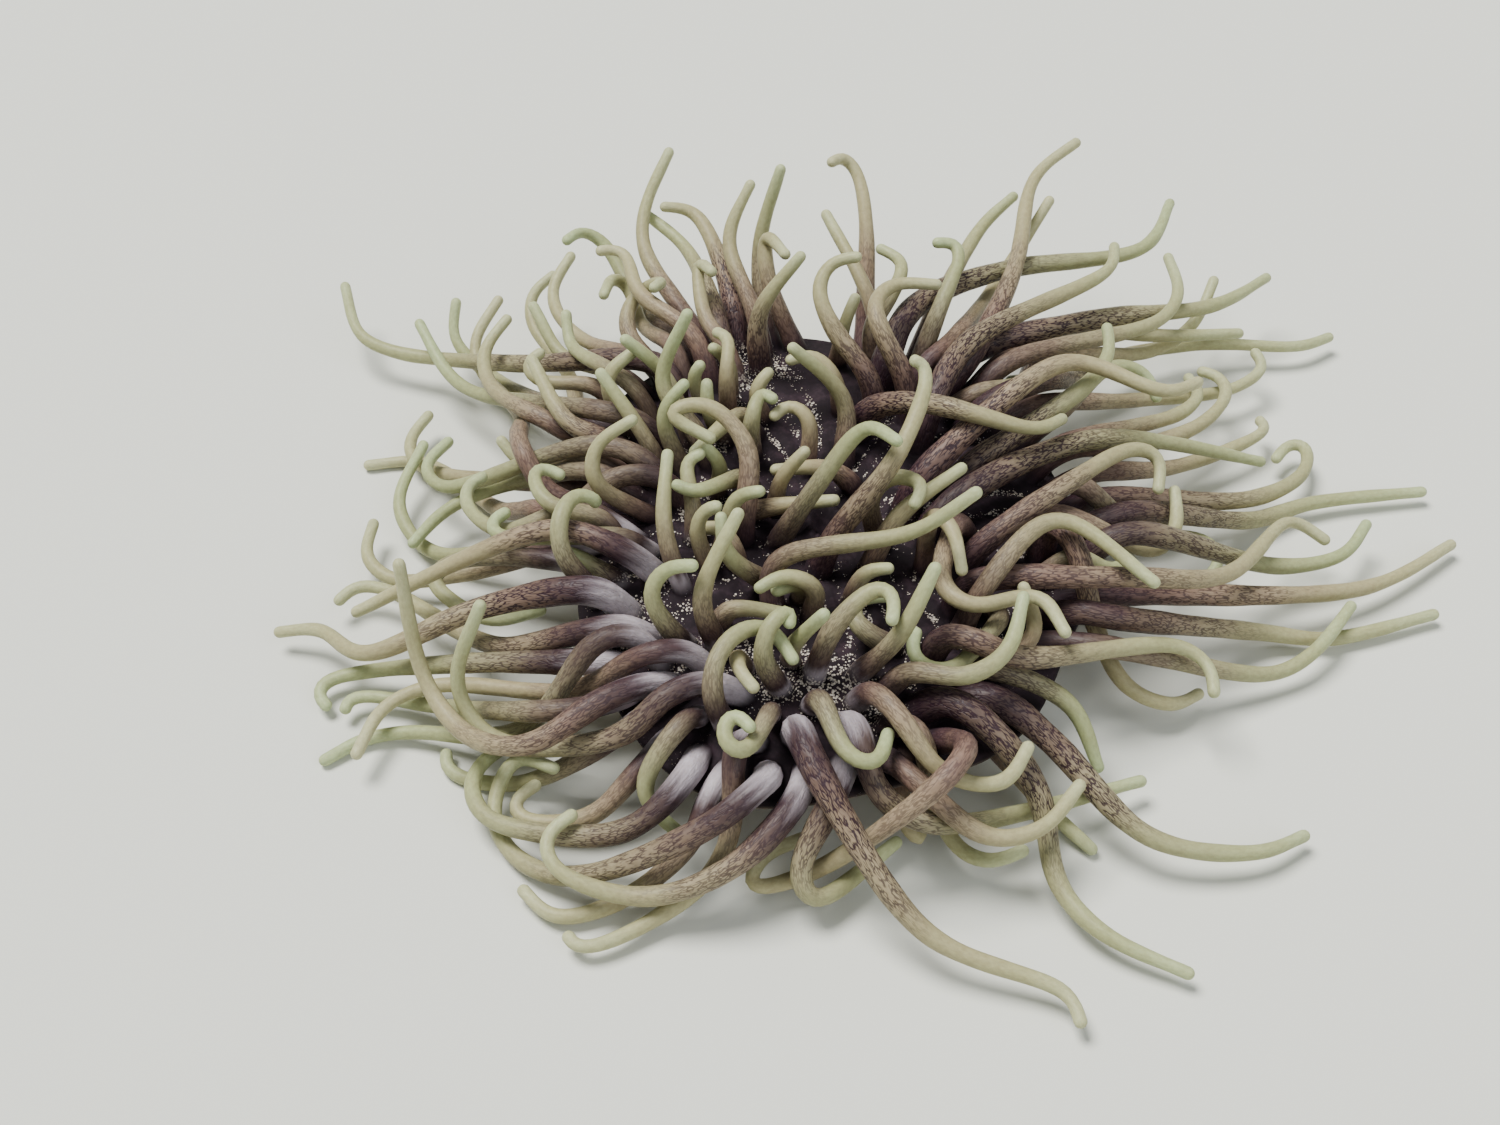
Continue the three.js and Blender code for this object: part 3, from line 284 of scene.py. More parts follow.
def own_limb_nodes():
    """The nodes of each limb that has its own, under the name that its lengths share."""
    own = {}
    for node in sorted(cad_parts):
        if node.startswith("tentacle_"):
            stem = node.removesuffix("_base").removesuffix("_tip")
            own.setdefault(stem, []).append(node)
    return own


def own_limb(nodes):
    """The tip of a limb of one or two nodes, and its rings' centres and radii from the root."""
    end = Welded(nodes[-1])
    tip, rings, _ = max(end.limbs(OWN_SIDES, FEWEST_OWN_RINGS), key=lambda limb: len(limb[1]))
    if len(nodes) == 2:
        base = Welded(nodes[0])
        away = np.linalg.norm(base.places - rings[-1][0], axis=1)
        start = set(np.argsort(away)[:OWN_SIDES].tolist())
        more, _ = base.rings_from(start, set(), OWN_SIDES)
        rings = rings + more[1:]
    return tip, rings[::-1]


def joined_limbs(node):
    """The slim limbs of one sector of the crown that have two straight lengths or more."""
    sector = Welded(node)
    limbs = []
    for tip, rings, after in sector.limbs(JOINED_SIDES, FEWEST_JOINED_RINGS):
        root = sector.places[list(after)].mean(axis=0)
        bearing, share, _ = crown_polar(root[:2])
        root[:2] = crown_plan(bearing, min(share, ROOT_SHARE))
        limbs.append((tip, [(root, rings[-1][1]), *rings[::-1]]))
    return limbs


# ------------------------------------------------------------------ smooth centrelines
def curve_through(points):
    """A centripetal Catmull-Rom curve through the points, at a fine spacing."""
    ends = [2 * points[0] - points[1], *points, 2 * points[-1] - points[-2]]
    fine = []
    for p0, p1, p2, p3 in zip(ends, ends[1:], ends[2:], ends[3:]):
        t1 = max(np.linalg.norm(p1 - p0), 1e-6) ** 0.5
        t2 = t1 + max(np.linalg.norm(p2 - p1), 1e-6) ** 0.5
        t3 = t2 + max(np.linalg.norm(p3 - p2), 1e-6) ** 0.5
        for t in np.linspace(t1, t2, CURVE_STEPS, endpoint=False):
            a1 = (p0 * (t1 - t) + p1 * t) / t1
            a2 = (p1 * (t2 - t) + p2 * (t - t1)) / (t2 - t1)
            a3 = (p2 * (t3 - t) + p3 * (t - t2)) / (t3 - t2)
            b1 = (a1 * (t2 - t) + a2 * t) / t2
            b2 = (a2 * (t3 - t) + a3 * (t - t1)) / (t3 - t1)
            fine.append((b1 * (t2 - t) + b2 * (t - t1)) / (t2 - t1))
    fine.append(points[-1])
    return np.array(fine)


def run_along(points):
    """Distances along a line of points, from its first one."""
    return np.concatenate([[0], np.cumsum(np.linalg.norm(np.diff(points, axis=0), axis=1))])


def at_runs(points, runs):
    """The places on a line of points that are these distances along it."""
    run = run_along(points)
    return np.stack([np.interp(runs, run, points[:, axis]) for axis in range(3)], axis=1)


def eased(beads):
    """The beads with the corners of their line rounded off, and both ends where they were."""
    for _ in range(EASING_ROUNDS):
        beads[2:-1] = (beads[1:-2] + 2 * beads[2:-1] + beads[3:]) / 4
    return beads


def taper(share):
    """How far a limb has thinned from its girth to its tip's, as in the CAD."""
    return np.minimum(1, share / TAPER_END) ** TAPER_POWER


class Limb:
    """One tentacle: beads along its centreline, which settle clear of the other limbs."""

    def __init__(self, tip, rings, number):
        self.number = number
        centres = [centre for centre, _ in rings]
        root = centres[0].copy()
        self.normal = top_normal(root[:2])
        root[2] = top_height(root[:2])
        line = curve_through([root, *centres[1:], tip])
        self.length = run_along(line)[-1]
        beads = max(LEAST_BEADS, round(self.length / RING_SPACING))
        self.beads = eased(at_runs(line, np.linspace(0, self.length, beads + 1)))
        inner = rings[1]
        share = run_along(np.array([root, inner[0]]))[-1] / self.length
        wide = inner[1] / FACET_SWELL
        self.girth = (wide - TIP_RADIUS * taper(share)) / (1 - taper(share))
        self.tint, self.phase = RNG.random(2)
        self.pale_root = self.root_paleness(root)

    def at(self, runs):
        """Places on the centreline through the beads at these distances from the root."""
        bead_runs = np.linspace(0, self.length, len(self.beads))
        return np.stack([np.interp(runs, bead_runs, self.beads[:, k]) for k in range(3)], axis=1)

    def root_paleness(self, root):
        """Limbs that leave the crown's left and front edges have pale roots."""
        bearing, share, _ = crown_polar(root[:2])
        turn = math.cos(bearing - PALE_BEARING)
        return float(smoothstep(0.6, 0.78, turn) * smoothstep(0.5, 0.68, share))

    def swelling(self, run):
        """A pale root starts a little narrower than the limb above it."""
        return -PALE_ROOT_NARROWING * self.pale_root * np.exp(-run / PALE_ROOT_LENGTH)

    def radius(self, run):
        """Round radius at distances along the limb, with soft uneven swellings."""
        share = np.clip(run / self.length, 0, 1)
        plain = self.girth + (TIP_RADIUS - self.girth) * taper(share)
        swell = BROAD_SWELL * np.sin(run / BROAD_SWELL_RUN + TAU * self.phase)
        swell += FINE_SWELL * np.sin(run / FINE_SWELL_RUN + 9 * self.tint)
        return plain * (1 + swell * smoothstep(2, 8, run) * (1 - smoothstep(0.9, 1, share)))


def read_limbs():
    """The limbs that the skin carries, first those with nodes of their own."""
    found = [own_limb(nodes) for nodes in own_limb_nodes().values()]
    for node in sorted(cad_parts):
        if node.startswith("crown_sector_"):
            found.extend(joined_limbs(node))
    return [Limb(tip, rings, i) for i, (tip, rings) in enumerate(found)]


def part_roots(limbs):
    """Slides the roots apart in plan until no two of their rings touch, inside the rim."""
    spots = np.array([limb.beads[0][:2] for limb in limbs])
    reach = np.array([limb.girth * (1 + ROOT_FLARE) for limb in limbs])
    itself = 1000 * np.eye(len(limbs))      # far enough that no root is pushed by itself
    for _ in range(ROOT_ROUNDS):
        apart = spots[:, None] - spots[None]
        distance = np.linalg.norm(apart, axis=2) + itself
        lack = np.maximum(0, reach[:, None] + reach[None] + ROOT_GAP - distance)
        spots += (apart * (0.5 * lack / distance)[..., None]).sum(axis=1)
        bearing, share, _ = crown_polar(spots)
        most = 1 - (reach + ROOT_GAP) / rim_radius(bearing)
        spots = crown_plan(bearing, np.minimum(share, most))
    for limb, spot in zip(limbs, spots):
        follow = FOLLOW_SHARE ** np.arange(len(limb.beads))
        limb.beads[:, :2] += follow[:, None] * (spot - limb.beads[0][:2])
        limb.beads[0][2] = top_height(spot)
        limb.normal = top_normal(spot)


def close_beads(places, owner, order, wide):
    """Pairs of beads that may touch, but are not close neighbours on one limb."""
    tree = KDTree(len(places))
    for i, place in enumerate(places):
        tree.insert(place, i)
    tree.balance()
    pairs = []
    for i, place in enumerate(places):
        for _, j, _ in tree.find_range(place, 2 * wide[i] + SEARCH_MARGIN):
            if j > i and (owner[i] != owner[j] or abs(order[i] - order[j]) > BEADS_PASSED_OVER):
                pairs.append((i, j))
    return np.array(pairs).T


def settle(limbs):
    """Pushes beads that are too close apart, and smooths each limb's shift along it."""
    places = np.concatenate([limb.beads for limb in limbs])
    owner = np.concatenate([np.full(len(limb.beads), limb.number) for limb in limbs])
    order = np.concatenate([np.arange(len(limb.beads)) for limb in limbs])
    wide = np.concatenate([
        limb.radius(np.linspace(0, limb.length, len(limb.beads))) for limb in limbs])
    ease = np.clip((order - HELD_BEADS) / FREEING_BEADS, 0, 1)
    first, second = close_beads(places, owner, order, wide)
    needed = wide[first] + wide[second] + LIMB_CLEARANCE
    shift = np.zeros_like(places)
    same_limb = owner[1:] == owner[:-1]
    for _ in range(SETTLING_ROUNDS):
        now = places + shift
        apart = now[first] - now[second]
        distance = np.maximum(np.linalg.norm(apart, axis=1), 1e-6)
        lack = np.maximum(0, needed - distance)
        push = apart * (PUSH_SHARE * lack / distance)[:, None]
        np.add.at(shift, first, push)
        np.add.at(shift, second, -push)
        shift *= ease[:, None]
        mean = shift.copy()
        both = np.flatnonzero(same_limb[1:] & same_limb[:-1]) + 1
        mean[both] = (shift[both - 1] + 2 * shift[both] + shift[both + 1]) / 4
        shift = mean
        floor = wide - (places + shift)[:, 2]
        shift[:, 2] += np.maximum(0, floor + FLOOR_CLEARANCE) * (ease > 0)
    settled = places + shift
    for limb in limbs:
        limb.beads = settled[owner == limb.number]


# ------------------------------------------------------------------ the skin's mesh
class Skin:
    """Vertices, faces and markings of the whole animal, gathered part by part."""

    def __init__(self):
        self.places = []
        self.limb_place = []
        self.limb_facts = []
        self.limb_run = []
        self.limb_girth = []
        self.sand = []
        self.column = []
        self.faces = []
        self.corners = []
        self.patches = []

    def add(self, places, limb=None, column=0.0):
        """Adds vertices with their markings, and returns their numbers."""
        first = len(self.places)
        count = len(places)
        pattern, facts, run, girth = limb or ([(0, 0, 0)] * count, (0, 0, 0), 0.0, 0.0)
        self.places.extend(places)
        self.limb_place.extend(pattern)
        self.limb_facts.extend([facts] * count)
        self.limb_run.extend([run] * count)
        self.limb_girth.extend([girth] * count)
        self.sand.extend(sand_share(np.array(places)[:, :2]))
        self.column.extend([column] * count)
        return list(range(first, first + count))

    def patch(self, width, height):
        """Keeps room on the map for one piece of the skin, in millimetres."""
        self.patches.append((width, height))
        return len(self.patches) - 1

    def face(self, spots, patch, uvs):
        """Adds one face, with its corners' places on a patch."""
        self.faces.append(spots)
        self.corners.extend((patch, u, v) for u, v in uvs)

    def band(self, low, high, patch, v_low, v_high, width):
        """Quads between two closed rings with the same number of vertices."""
        count = len(low)
        for i in range(count):
            j = (i + 1) % count
            u0, u1 = width * i / count, width * (i + 1) / count
            self.face((low[i], low[j], high[j], high[i]), patch,
                      ((u0, v_low), (u1, v_low), (u1, v_high), (u0, v_high)))

    def fan(self, ring, apex, patch, v_ring, v_apex, width):
        """Triangles from a closed ring to one point."""
        count = len(ring)
        for i in range(count):
            j = (i + 1) % count
            u0, u1 = width * i / count, width * (i + 1) / count
            self.face((ring[i], ring[j], apex), patch,
                      ((u0, v_ring), (u1, v_ring), ((u0 + u1) / 2, v_apex)))

    def map_corners(self):
        """Packs the patches on shelves in a unit square and places every corner on them."""
        total = sum((w + MAP_MARGIN) * (h + MAP_MARGIN) for w, h in self.patches)
        side = MAP_SLACK * math.sqrt(total)
        corner_of = {}
        x = y = shelf = 0.0
        for number in sorted(range(len(self.patches)), key=lambda n: -self.patches[n][1]):
            width, height = self.patches[number]
            if x and x + width + MAP_MARGIN > side:
                x, y, shelf = 0.0, y + shelf, 0.0
            corner_of[number] = (x + MAP_MARGIN / 2, y + MAP_MARGIN / 2)
            x += width + MAP_MARGIN
            shelf = max(shelf, height + MAP_MARGIN)
        side = max(side, y + shelf)
        return [((corner_of[p][0] + u) / side, (corner_of[p][1] + v) / side)
                for p, u, v in self.corners]

    def build(self, name):
        """The gathered skin as one smooth mesh object with its map and markings."""
        mesh = bpy.data.meshes.new(name)
        mesh.from_pydata([tuple(p / METRE for p in place) for place in self.places], [], self.faces)
        uv_layer = mesh.uv_layers.new(name="OFBake")
        uv_layer.data.foreach_set("uv", np.array(self.map_corners(), dtype=np.float32).ravel())
        for label, kind, values in (
                ("limb_place", "FLOAT_VECTOR", self.limb_place),
                ("limb_facts", "FLOAT_VECTOR", self.limb_facts),
                ("limb_run", "FLOAT", self.limb_run),
                ("limb_girth", "FLOAT", self.limb_girth),
                ("sand", "FLOAT", self.sand),
                ("column", "FLOAT", self.column)):
            layer = mesh.attributes.new(label, kind, "POINT")
            field = "vector" if kind == "FLOAT_VECTOR" else "value"
            layer.data.foreach_set(field, np.array(values, dtype=np.float32).ravel())
        mesh.polygons.foreach_set("use_smooth", [True] * len(mesh.polygons))
        mesh.validate()
        mesh.update()
        piece = bpy.data.objects.new(name, mesh)
        bpy.context.scene.collection.objects.link(piece)
        return piece


# ------------------------------------------------------------------ tubes
def carried_frames(tangents):
    """A pair of directions across the limb at each ring, carried along it without twist."""
    across = np.array([1.0, 0.0, 0.0])
    frames = []
    for tangent in tangents:
        across = across - tangent * across.dot(tangent)
        across /= np.linalg.norm(across)
        frames.append((across, np.cross(tangent, across)))
    return frames


def ring_runs(limb):
    """Distances of the rings from the root: close at the root and round the tip."""
    start = ROOT_RINGS[-1] + 0.6 * RING_SPACING
    end = limb.length - TIP_RADIUS
    count = max(LEAST_RINGS, round((end - start) / RING_SPACING))
    middle = np.linspace(start, end, count + 1)
    return np.concatenate([ROOT_RINGS, middle, end + TIP_RADIUS * np.sin(CAP_ANGLES)])


def ring_radii(limb, runs):
    """Radii of the rings, flared at the root and rounded off at the tip."""
    radii = limb.radius(runs) * (1 + ROOT_FLARE * np.exp(-runs / FLARE_LENGTH))
    past = np.clip((runs - (limb.length - TIP_RADIUS)) / TIP_RADIUS, 0, 1)
    return radii * (1 + limb.swelling(runs)) * np.sqrt(1 - past ** 2)


def grow_limb(skin, limb):
    """Adds one limb's tube and returns the ring of vertices at its root on the crown."""
    runs = ring_runs(limb)
    radii = ring_radii(limb, runs)
    tangents = limb.at(runs + TANGENT_REACH) - limb.at(runs - TANGENT_REACH)
    tangents /= np.linalg.norm(tangents, axis=1)[:, None]
    blend = smoothstep(0, TURNING_LENGTH, runs)[:, None]
    tangents = limb.normal * (1 - blend) + tangents * blend
    tangents /= np.linalg.norm(tangents, axis=1)[:, None]
    angles = TAU * np.arange(SIDES) / SIDES
    width = TAU * limb.girth
    patch = skin.patch(width, limb.length)
    own_pattern = PATTERN_STRIDE * limb.number
    previous = root = None
    for run, radius, centre, (across, up), before in zip(
            runs, radii, limb.at(runs), carried_frames(tangents), [0, *runs]):
        rim = centre + radius * (np.outer(np.cos(angles), across) + np.outer(np.sin(angles), up))
        if root is None:
            rim[:, 2] = top_height(rim[:, :2])
        pattern = [(limb.girth * math.cos(a), limb.girth * math.sin(a), run + own_pattern)
                   for a in angles]
        facts = (run / limb.length, limb.tint, limb.pale_root)
        ring = skin.add([*rim], (pattern, facts, run, limb.girth))
        if root is None:
            root = ring
        else:
            skin.band(previous, ring, patch, before, run, width)
        previous = ring
    pattern = [(0, 0, limb.length + own_pattern)]
    facts = (1, limb.tint, limb.pale_root)
    tip = skin.add([limb.beads[-1]], (pattern, facts, limb.length, limb.girth))[0]
    skin.fan(previous, tip, patch, runs[-1], limb.length, width)
    return root


# ------------------------------------------------------------------ crown, column and foot
def crown_spots(roots, skin):
    """Points spread over the crown's top, clear of the limbs' roots, finer near the mouth."""
    centres = np.array([np.mean([skin.places[spot][:2] for spot in root], axis=0) for root in roots])
    reaches = np.array([max(np.linalg.norm(skin.places[spot][:2] - centre) for spot in root)
                        for root, centre in zip(roots, centres)])
    spots = []
    reach_share = FIRST_SPOT_SHARE
    ring = 0
    while reach_share < LAST_SPOT_SHARE:
        reach = reach_share * CROWN_MEAN_RADIUS
        spacing = MOUTH_SPOT_SPACING if reach < MOUTH_SPOT_REACH else SPOT_SPACING
        count = max(8, round(TAU * reach / spacing))
        for i in range(count):
            bearing = TAU * (i + 0.5 * (ring % 2)) / count
            spot = crown_plan(bearing, reach_share)
            if (np.linalg.norm(centres - spot, axis=1) > reaches + SPOT_CLEARANCE).all():
                spots.append(spot)
        reach_share += spacing * ROW_STEP / CROWN_MEAN_RADIUS
        ring += 1
    return spots


def grow_crown(skin, roots):
    """Covers the crown's top between the limbs, and returns the ring of vertices at its rim."""
    bearings = TAU * np.arange(RIM_STEPS) / RIM_STEPS
    rim_plan = crown_plan(bearings, 1.0)
    inner = np.array(crown_spots(roots, skin))
    own = np.concatenate([rim_plan, inner])
    heights = top_height(own)
    numbers = skin.add([np.array([x, y, z]) for (x, y), z in zip(own, heights)])
    spot_of = numbers + [spot for root in roots for spot in root]
    plan = [Vector(skin.places[spot][:2]) for spot in spot_of]
    faces = [list(range(RIM_STEPS))]
    first = len(own)
    for root in roots:
        faces.append(list(range(first, first + len(root))))
        first += len(root)
    found = geometry.delaunay_2d_cdt(plan, [], faces, 0, 1e-5, True)
    new_plan, _, new_faces, from_spots, _, from_faces = found
    for place, sources in zip(new_plan, from_spots):
        if not sources:
            xy = np.array(place)
            spot_of.append(skin.add([np.array([*xy, top_height(xy)])])[0])
    extra = iter(spot_of[len(plan):])
    spot_at = [spot_of[sources[0]] if sources else next(extra) for sources in from_spots]
    low = rim_plan.min(axis=0)
    patch = skin.patch(*(rim_plan.max(axis=0) - low))
    for corners, sources in zip(new_faces, from_faces):
        if list(sources) == [0]:
            sheet = [np.array(new_plan[c]) - low for c in corners]
            skin.face([spot_at[c] for c in corners], patch, sheet)
    return numbers[:RIM_STEPS]


def verrucae(bearing, height):
    """Rows of small warts on the column."""
    row = height / WART_ROW_HEIGHT
    offset = 0.5 * (math.floor(row) % 2)
    across = np.cos(WARTS_ROUND * bearing + TAU * offset)
    down = math.cos(TAU * (row - math.floor(row) - 0.5))
    return WART_RISE * np.clip(across, 0, 1) ** 1.5 * max(0.0, down) ** 1.5


def rolled_rim(bearings, around):
    """Rings over the rim and in under the crown, to the column's shoulder."""
    top = top_height(crown_plan(bearings, 1.0))
    under_rim = np.maximum(COLUMN_TOP + RIM_CLEARANCE, top - RIM_THICKNESS)
    rings = []
    for degrees in RIM_ROLL:
        angle = math.radians(degrees)
        out = 0.5 * RIM_THICKNESS * math.sin(angle)
        height = (top + under_rim) / 2 + (top - under_rim) / 2 * math.cos(angle)
        column = smoothstep(LOOK_TURNS, RIM_ROLL[-1], degrees)
        rings.append((crown_plan(bearings, 1.0) + out * around, height, column))
    for share in np.linspace(1, COLUMN_SHARE, UNDERSIDE_RINGS):
        height = COLUMN_TOP + (under_rim - COLUMN_TOP) * smoothstep(COLUMN_SHARE, 1, share)
        rings.append((crown_plan(bearings, share), height, 1.0))
    return rings


def column_rings(bearings, around):
    """Rings from the shoulder down the warty column to the foot."""
    shoulder = crown_plan(bearings, COLUMN_SHARE)
    rings = []
    for share in np.linspace(1 / SHOULDER_RINGS, 1, SHOULDER_RINGS):
        plan = shoulder * (1 - share) + (WAIST_RADIUS + WAIST_FLARE) * around * share
        rings.append((plan, np.full(RIM_STEPS, COLUMN_TOP - SHOULDER_DROP * share), 1.0))
    highest = COLUMN_TOP - 2 * SHOULDER_DROP
    lowest = FOOT_HEIGHT + SHOULDER_DROP
    for height in np.linspace(highest, lowest, COLUMN_RINGS):
        share = (height - FOOT_HEIGHT) / (COLUMN_TOP - FOOT_HEIGHT)
        flare = WAIST_FLARE * (2 * share - 1) ** 2 * (1 if share > 0.5 else FOOT_FLARE_SHARE)
        reach = WAIST_RADIUS + flare + verrucae(bearings, height)
        rings.append((reach[:, None] * around, np.full(RIM_STEPS, height), 1.0))
    return rings


def foot_rings(bearings, around):
    """Rings round the pedal disc's soft edge and in over its flat underside."""
    profile = [                 # reach and height
        (FOOT_RADIUS - 3, FOOT_HEIGHT), (FOOT_RADIUS - 0.8, FOOT_HEIGHT - 1),
        (FOOT_RADIUS + 0.6, 3), (FOOT_RADIUS + 1, 2), (FOOT_RADIUS + 0.9, 1),
        (FOOT_RADIUS + 0.2, 0.25), (FOOT_RADIUS - 0.6, 0), (FOOT_RADIUS / 2, 0)]
    edge = 1 + 0.02 * np.cos(6 * bearings)
    return [((reach * edge)[:, None] * around, np.full(RIM_STEPS, float(height)), 1.0)
            for reach, height in profile]


def grow_column(skin, rim):
    """The rolled rim, the crown's underside, the column and the foot, in rings down to the floor."""
    bearings = TAU * np.arange(RIM_STEPS) / RIM_STEPS
    around = np.stack([np.cos(bearings), np.sin(bearings)], axis=1)
    rings = [
        *rolled_rim(bearings, around), *column_rings(bearings, around), *foot_rings(bearings, around)]
    width = TAU * FOOT_RADIUS
    lengths = [
        np.linalg.norm(b[0][0] - a[0][0]) + abs(b[1][0] - a[1][0])
        for a, b in zip(rings, rings[1:])]
    runs = np.concatenate([[1.0], 1.0 + np.cumsum(lengths)])
    patch = skin.patch(width, runs[-1] + FOOT_RADIUS / 2)
    previous, before = rim, 0.0
    for (plan, height, column), run in zip(rings, runs):
        places = [np.array([x, y, z]) for (x, y), z in zip(plan, height)]
        ring = skin.add(places, column=column)
        skin.band(ring, previous, patch, run, before, width)
        previous, before = ring, run
    centre = skin.add([np.array([0.0, 0.0, 0.0])], column=1.0)[0]
    skin.fan(previous[::-1], centre, patch, before, before + FOOT_RADIUS / 2, width)


# ------------------------------------------------------------------ materials
def colour(code):
    """Linear colour of a six-digit sRGB code."""
    parts = [int(code[i:i + 2], 16) / 255 for i in (0, 2, 4)]
    return (*[p / 12.92 if p <= 0.04045 else ((p + 0.055) / 1.055) ** 2.4 for p in parts], 1)


class Recipe:
    """A material's nodes, with one short call for each kind that the looks need."""

    def __init__(self, name):
        self.material = bpy.data.materials.new(name)
        self.material.use_nodes = True
        self.tree = self.material.node_tree
        self.shader = self.tree.nodes["Principled BSDF"]

    def node(self, kind, output, values=(), **settings):
        """A node with its settings and its inputs' values or links; gives one output."""
        node = self.tree.nodes.new(kind)
        for key, value in settings.items():
            setattr(node, key, value)
        for key, value in dict(values).items():
            if isinstance(value, bpy.types.NodeSocket):
                self.tree.links.new(value, node.inputs[key])
            else:
                node.inputs[key].default_value = value
        return node.outputs[output]

    def attribute(self, name, output="Fac"):
        """One of the skin's markings."""
        return self.node("ShaderNodeAttribute", output, attribute_name=name)

    def parts(self, vector):
        """The three numbers of a vector."""
        node = self.tree.nodes.new("ShaderNodeSeparateXYZ")
        self.tree.links.new(vector, node.inputs[0])
        return node.outputs

    def stretched(self, vector, scale):
        """A place with each axis scaled, so that what is drawn there comes out longer or shorter."""
        return self.node("ShaderNodeVectorMath", 0, {0: vector, 1: scale}, operation="MULTIPLY")

    def noise(self, vector, scale, detail=2.0, roughness=0.5):
        """Soft uneven blotches."""
        return self.node("ShaderNodeTexNoise", 0, {
            "Vector": vector, "Scale": scale, "Detail": detail, "Roughness": roughness})

    def cells(self, vector, scale, feature="F1"):
        """Distance to the nearest of many scattered points, or to the edge between two."""
        return self.node("ShaderNodeTexVoronoi", "Distance", {
            "Vector": vector, "Scale": scale}, feature=feature)

    def maths(self, operation, *values):
        """One sum of numbers or links."""
        return self.node("ShaderNodeMath", 0, enumerate(values), operation=operation)

    def step(self, value, low, high, start=0.0, end=1.0):
        """A smooth step from start to end as the value goes from low to high."""
        return self.node("ShaderNodeMapRange", 0, {
            "Value": value, "From Min": low, "From Max": high, "To Min": start, "To Max": end},
            interpolation_type="SMOOTHSTEP")

    def ramp(self, value, stops):
        """A colour from a row of places and colours."""
        node = self.tree.nodes.new("ShaderNodeValToRGB")
        self.tree.links.new(value, node.inputs[0])
        band = node.color_ramp
        while len(band.elements) < len(stops):
            band.elements.new(0.5)
        for element, (place, code) in zip(band.elements, stops):
            element.position = place
            element.color = colour(code)
        return node.outputs[0]

    def mix(self, share, a, b, blend="MIX"):
        """Colour a with this share of colour b laid over it."""
        a = colour(a) if isinstance(a, str) else a
        b = colour(b) if isinstance(b, str) else b
        return self.node("ShaderNodeMix", 2, {
            0: share, 6: a, 7: b}, data_type="RGBA", blend_type=blend)

    def bump(self, height, distance, strength):
        """A normal for a relief of this many millimetres."""
        return self.node("ShaderNodeBump", 0, {
            "Height": height, "Distance": distance / METRE, "Strength": strength})


def limb_look(recipe):
    """Colour and relief of the limbs: purple brown roots with dark dashes, smooth olive tips."""
    place = recipe.attribute("limb_place", "Vector")
    share, tint, pale_root = recipe.parts(recipe.attribute("limb_facts", "Vector"))
    boldness = recipe.step(recipe.attribute("limb_girth"), 2.4, 3.9, 0.3, 1.0)
    patches = recipe.noise(place, 0.1, 2.0)
    darker = recipe.maths("MULTIPLY_ADD", boldness, -0.1, -0.06)
    uneven = recipe.maths("MULTIPLY_ADD", patches, 0.26, darker)
    along = recipe.maths("ADD", share, uneven)
    ground = recipe.ramp(along, [
        (0.0, "3b2a34"), (0.1, "544347"), (0.24, "827067"), (0.4, "9d927d"),
        (0.58, "a5a282"), (0.8, "adb08a"), (1.0, "bcc5a1")])
    ground = recipe.mix(1.0, ground, recipe.mix(tint, "fff1ea", "f0f6e4"), "MULTIPLY")

    bent = recipe.noise(place, 0.45, 1.0)
    waver = recipe.node("ShaderNodeVectorMath", 0, {0: place, 1: bent}, operation="ADD")
    net = recipe.cells(recipe.stretched(waver, (1.0, 1.0, 0.26)), 1.55, "DISTANCE_TO_EDGE")
    lines = recipe.step(net, 0.06, 0.2, 1.0, 0.0)
    breaks = recipe.noise(recipe.stretched(place, (1.0, 1.0, 0.45)), 0.8, 1.0)
    dashes = recipe.maths("MULTIPLY", lines, recipe.step(breaks, 0.36, 0.48))
    dashed = recipe.maths("MULTIPLY", recipe.step(along, 0.36, 0.66, 1.0, 0.0), boldness)
    dashes = recipe.maths("MULTIPLY", dashes, dashed)
    marked = recipe.mix(recipe.maths("MULTIPLY", dashes, 0.95), ground, "2f1d27")

    streaks = recipe.noise(recipe.stretched(place, (1.0, 1.0, 0.12)), 0.5, 2.0)
    streaked = recipe.maths("MULTIPLY_ADD", streaks, 0.14, recipe.maths("SUBTRACT", share, 0.07))
    band = recipe.maths("MULTIPLY", recipe.step(streaked, 0.16, 0.34, 1.0, 0.0), 0.7)
    marked = recipe.mix(recipe.maths("MULTIPLY", band, pale_root), marked, "35232d")
    pale = recipe.maths("MULTIPLY", recipe.step(streaked, 0.07, 0.17, 1.0, 0.0), pale_root)
    marked = recipe.mix(recipe.maths("MULTIPLY", pale, 0.85), marked, "c4bac2")
    mottle = recipe.ramp(recipe.noise(place, 0.7, 3.0, 0.6), [(0.3, "c4c0bc"), (0.7, "ffffff")])
    marked = recipe.mix(0.5, marked, mottle, "MULTIPLY")

    wrinkles = recipe.noise(recipe.stretched(place, (0.8, 0.8, 1.6)), 0.9, 2.0)
    return marked, recipe.maths("MULTIPLY_ADD", dashes, -0.5, recipe.maths("MULTIPLY", wrinkles, 0.4))


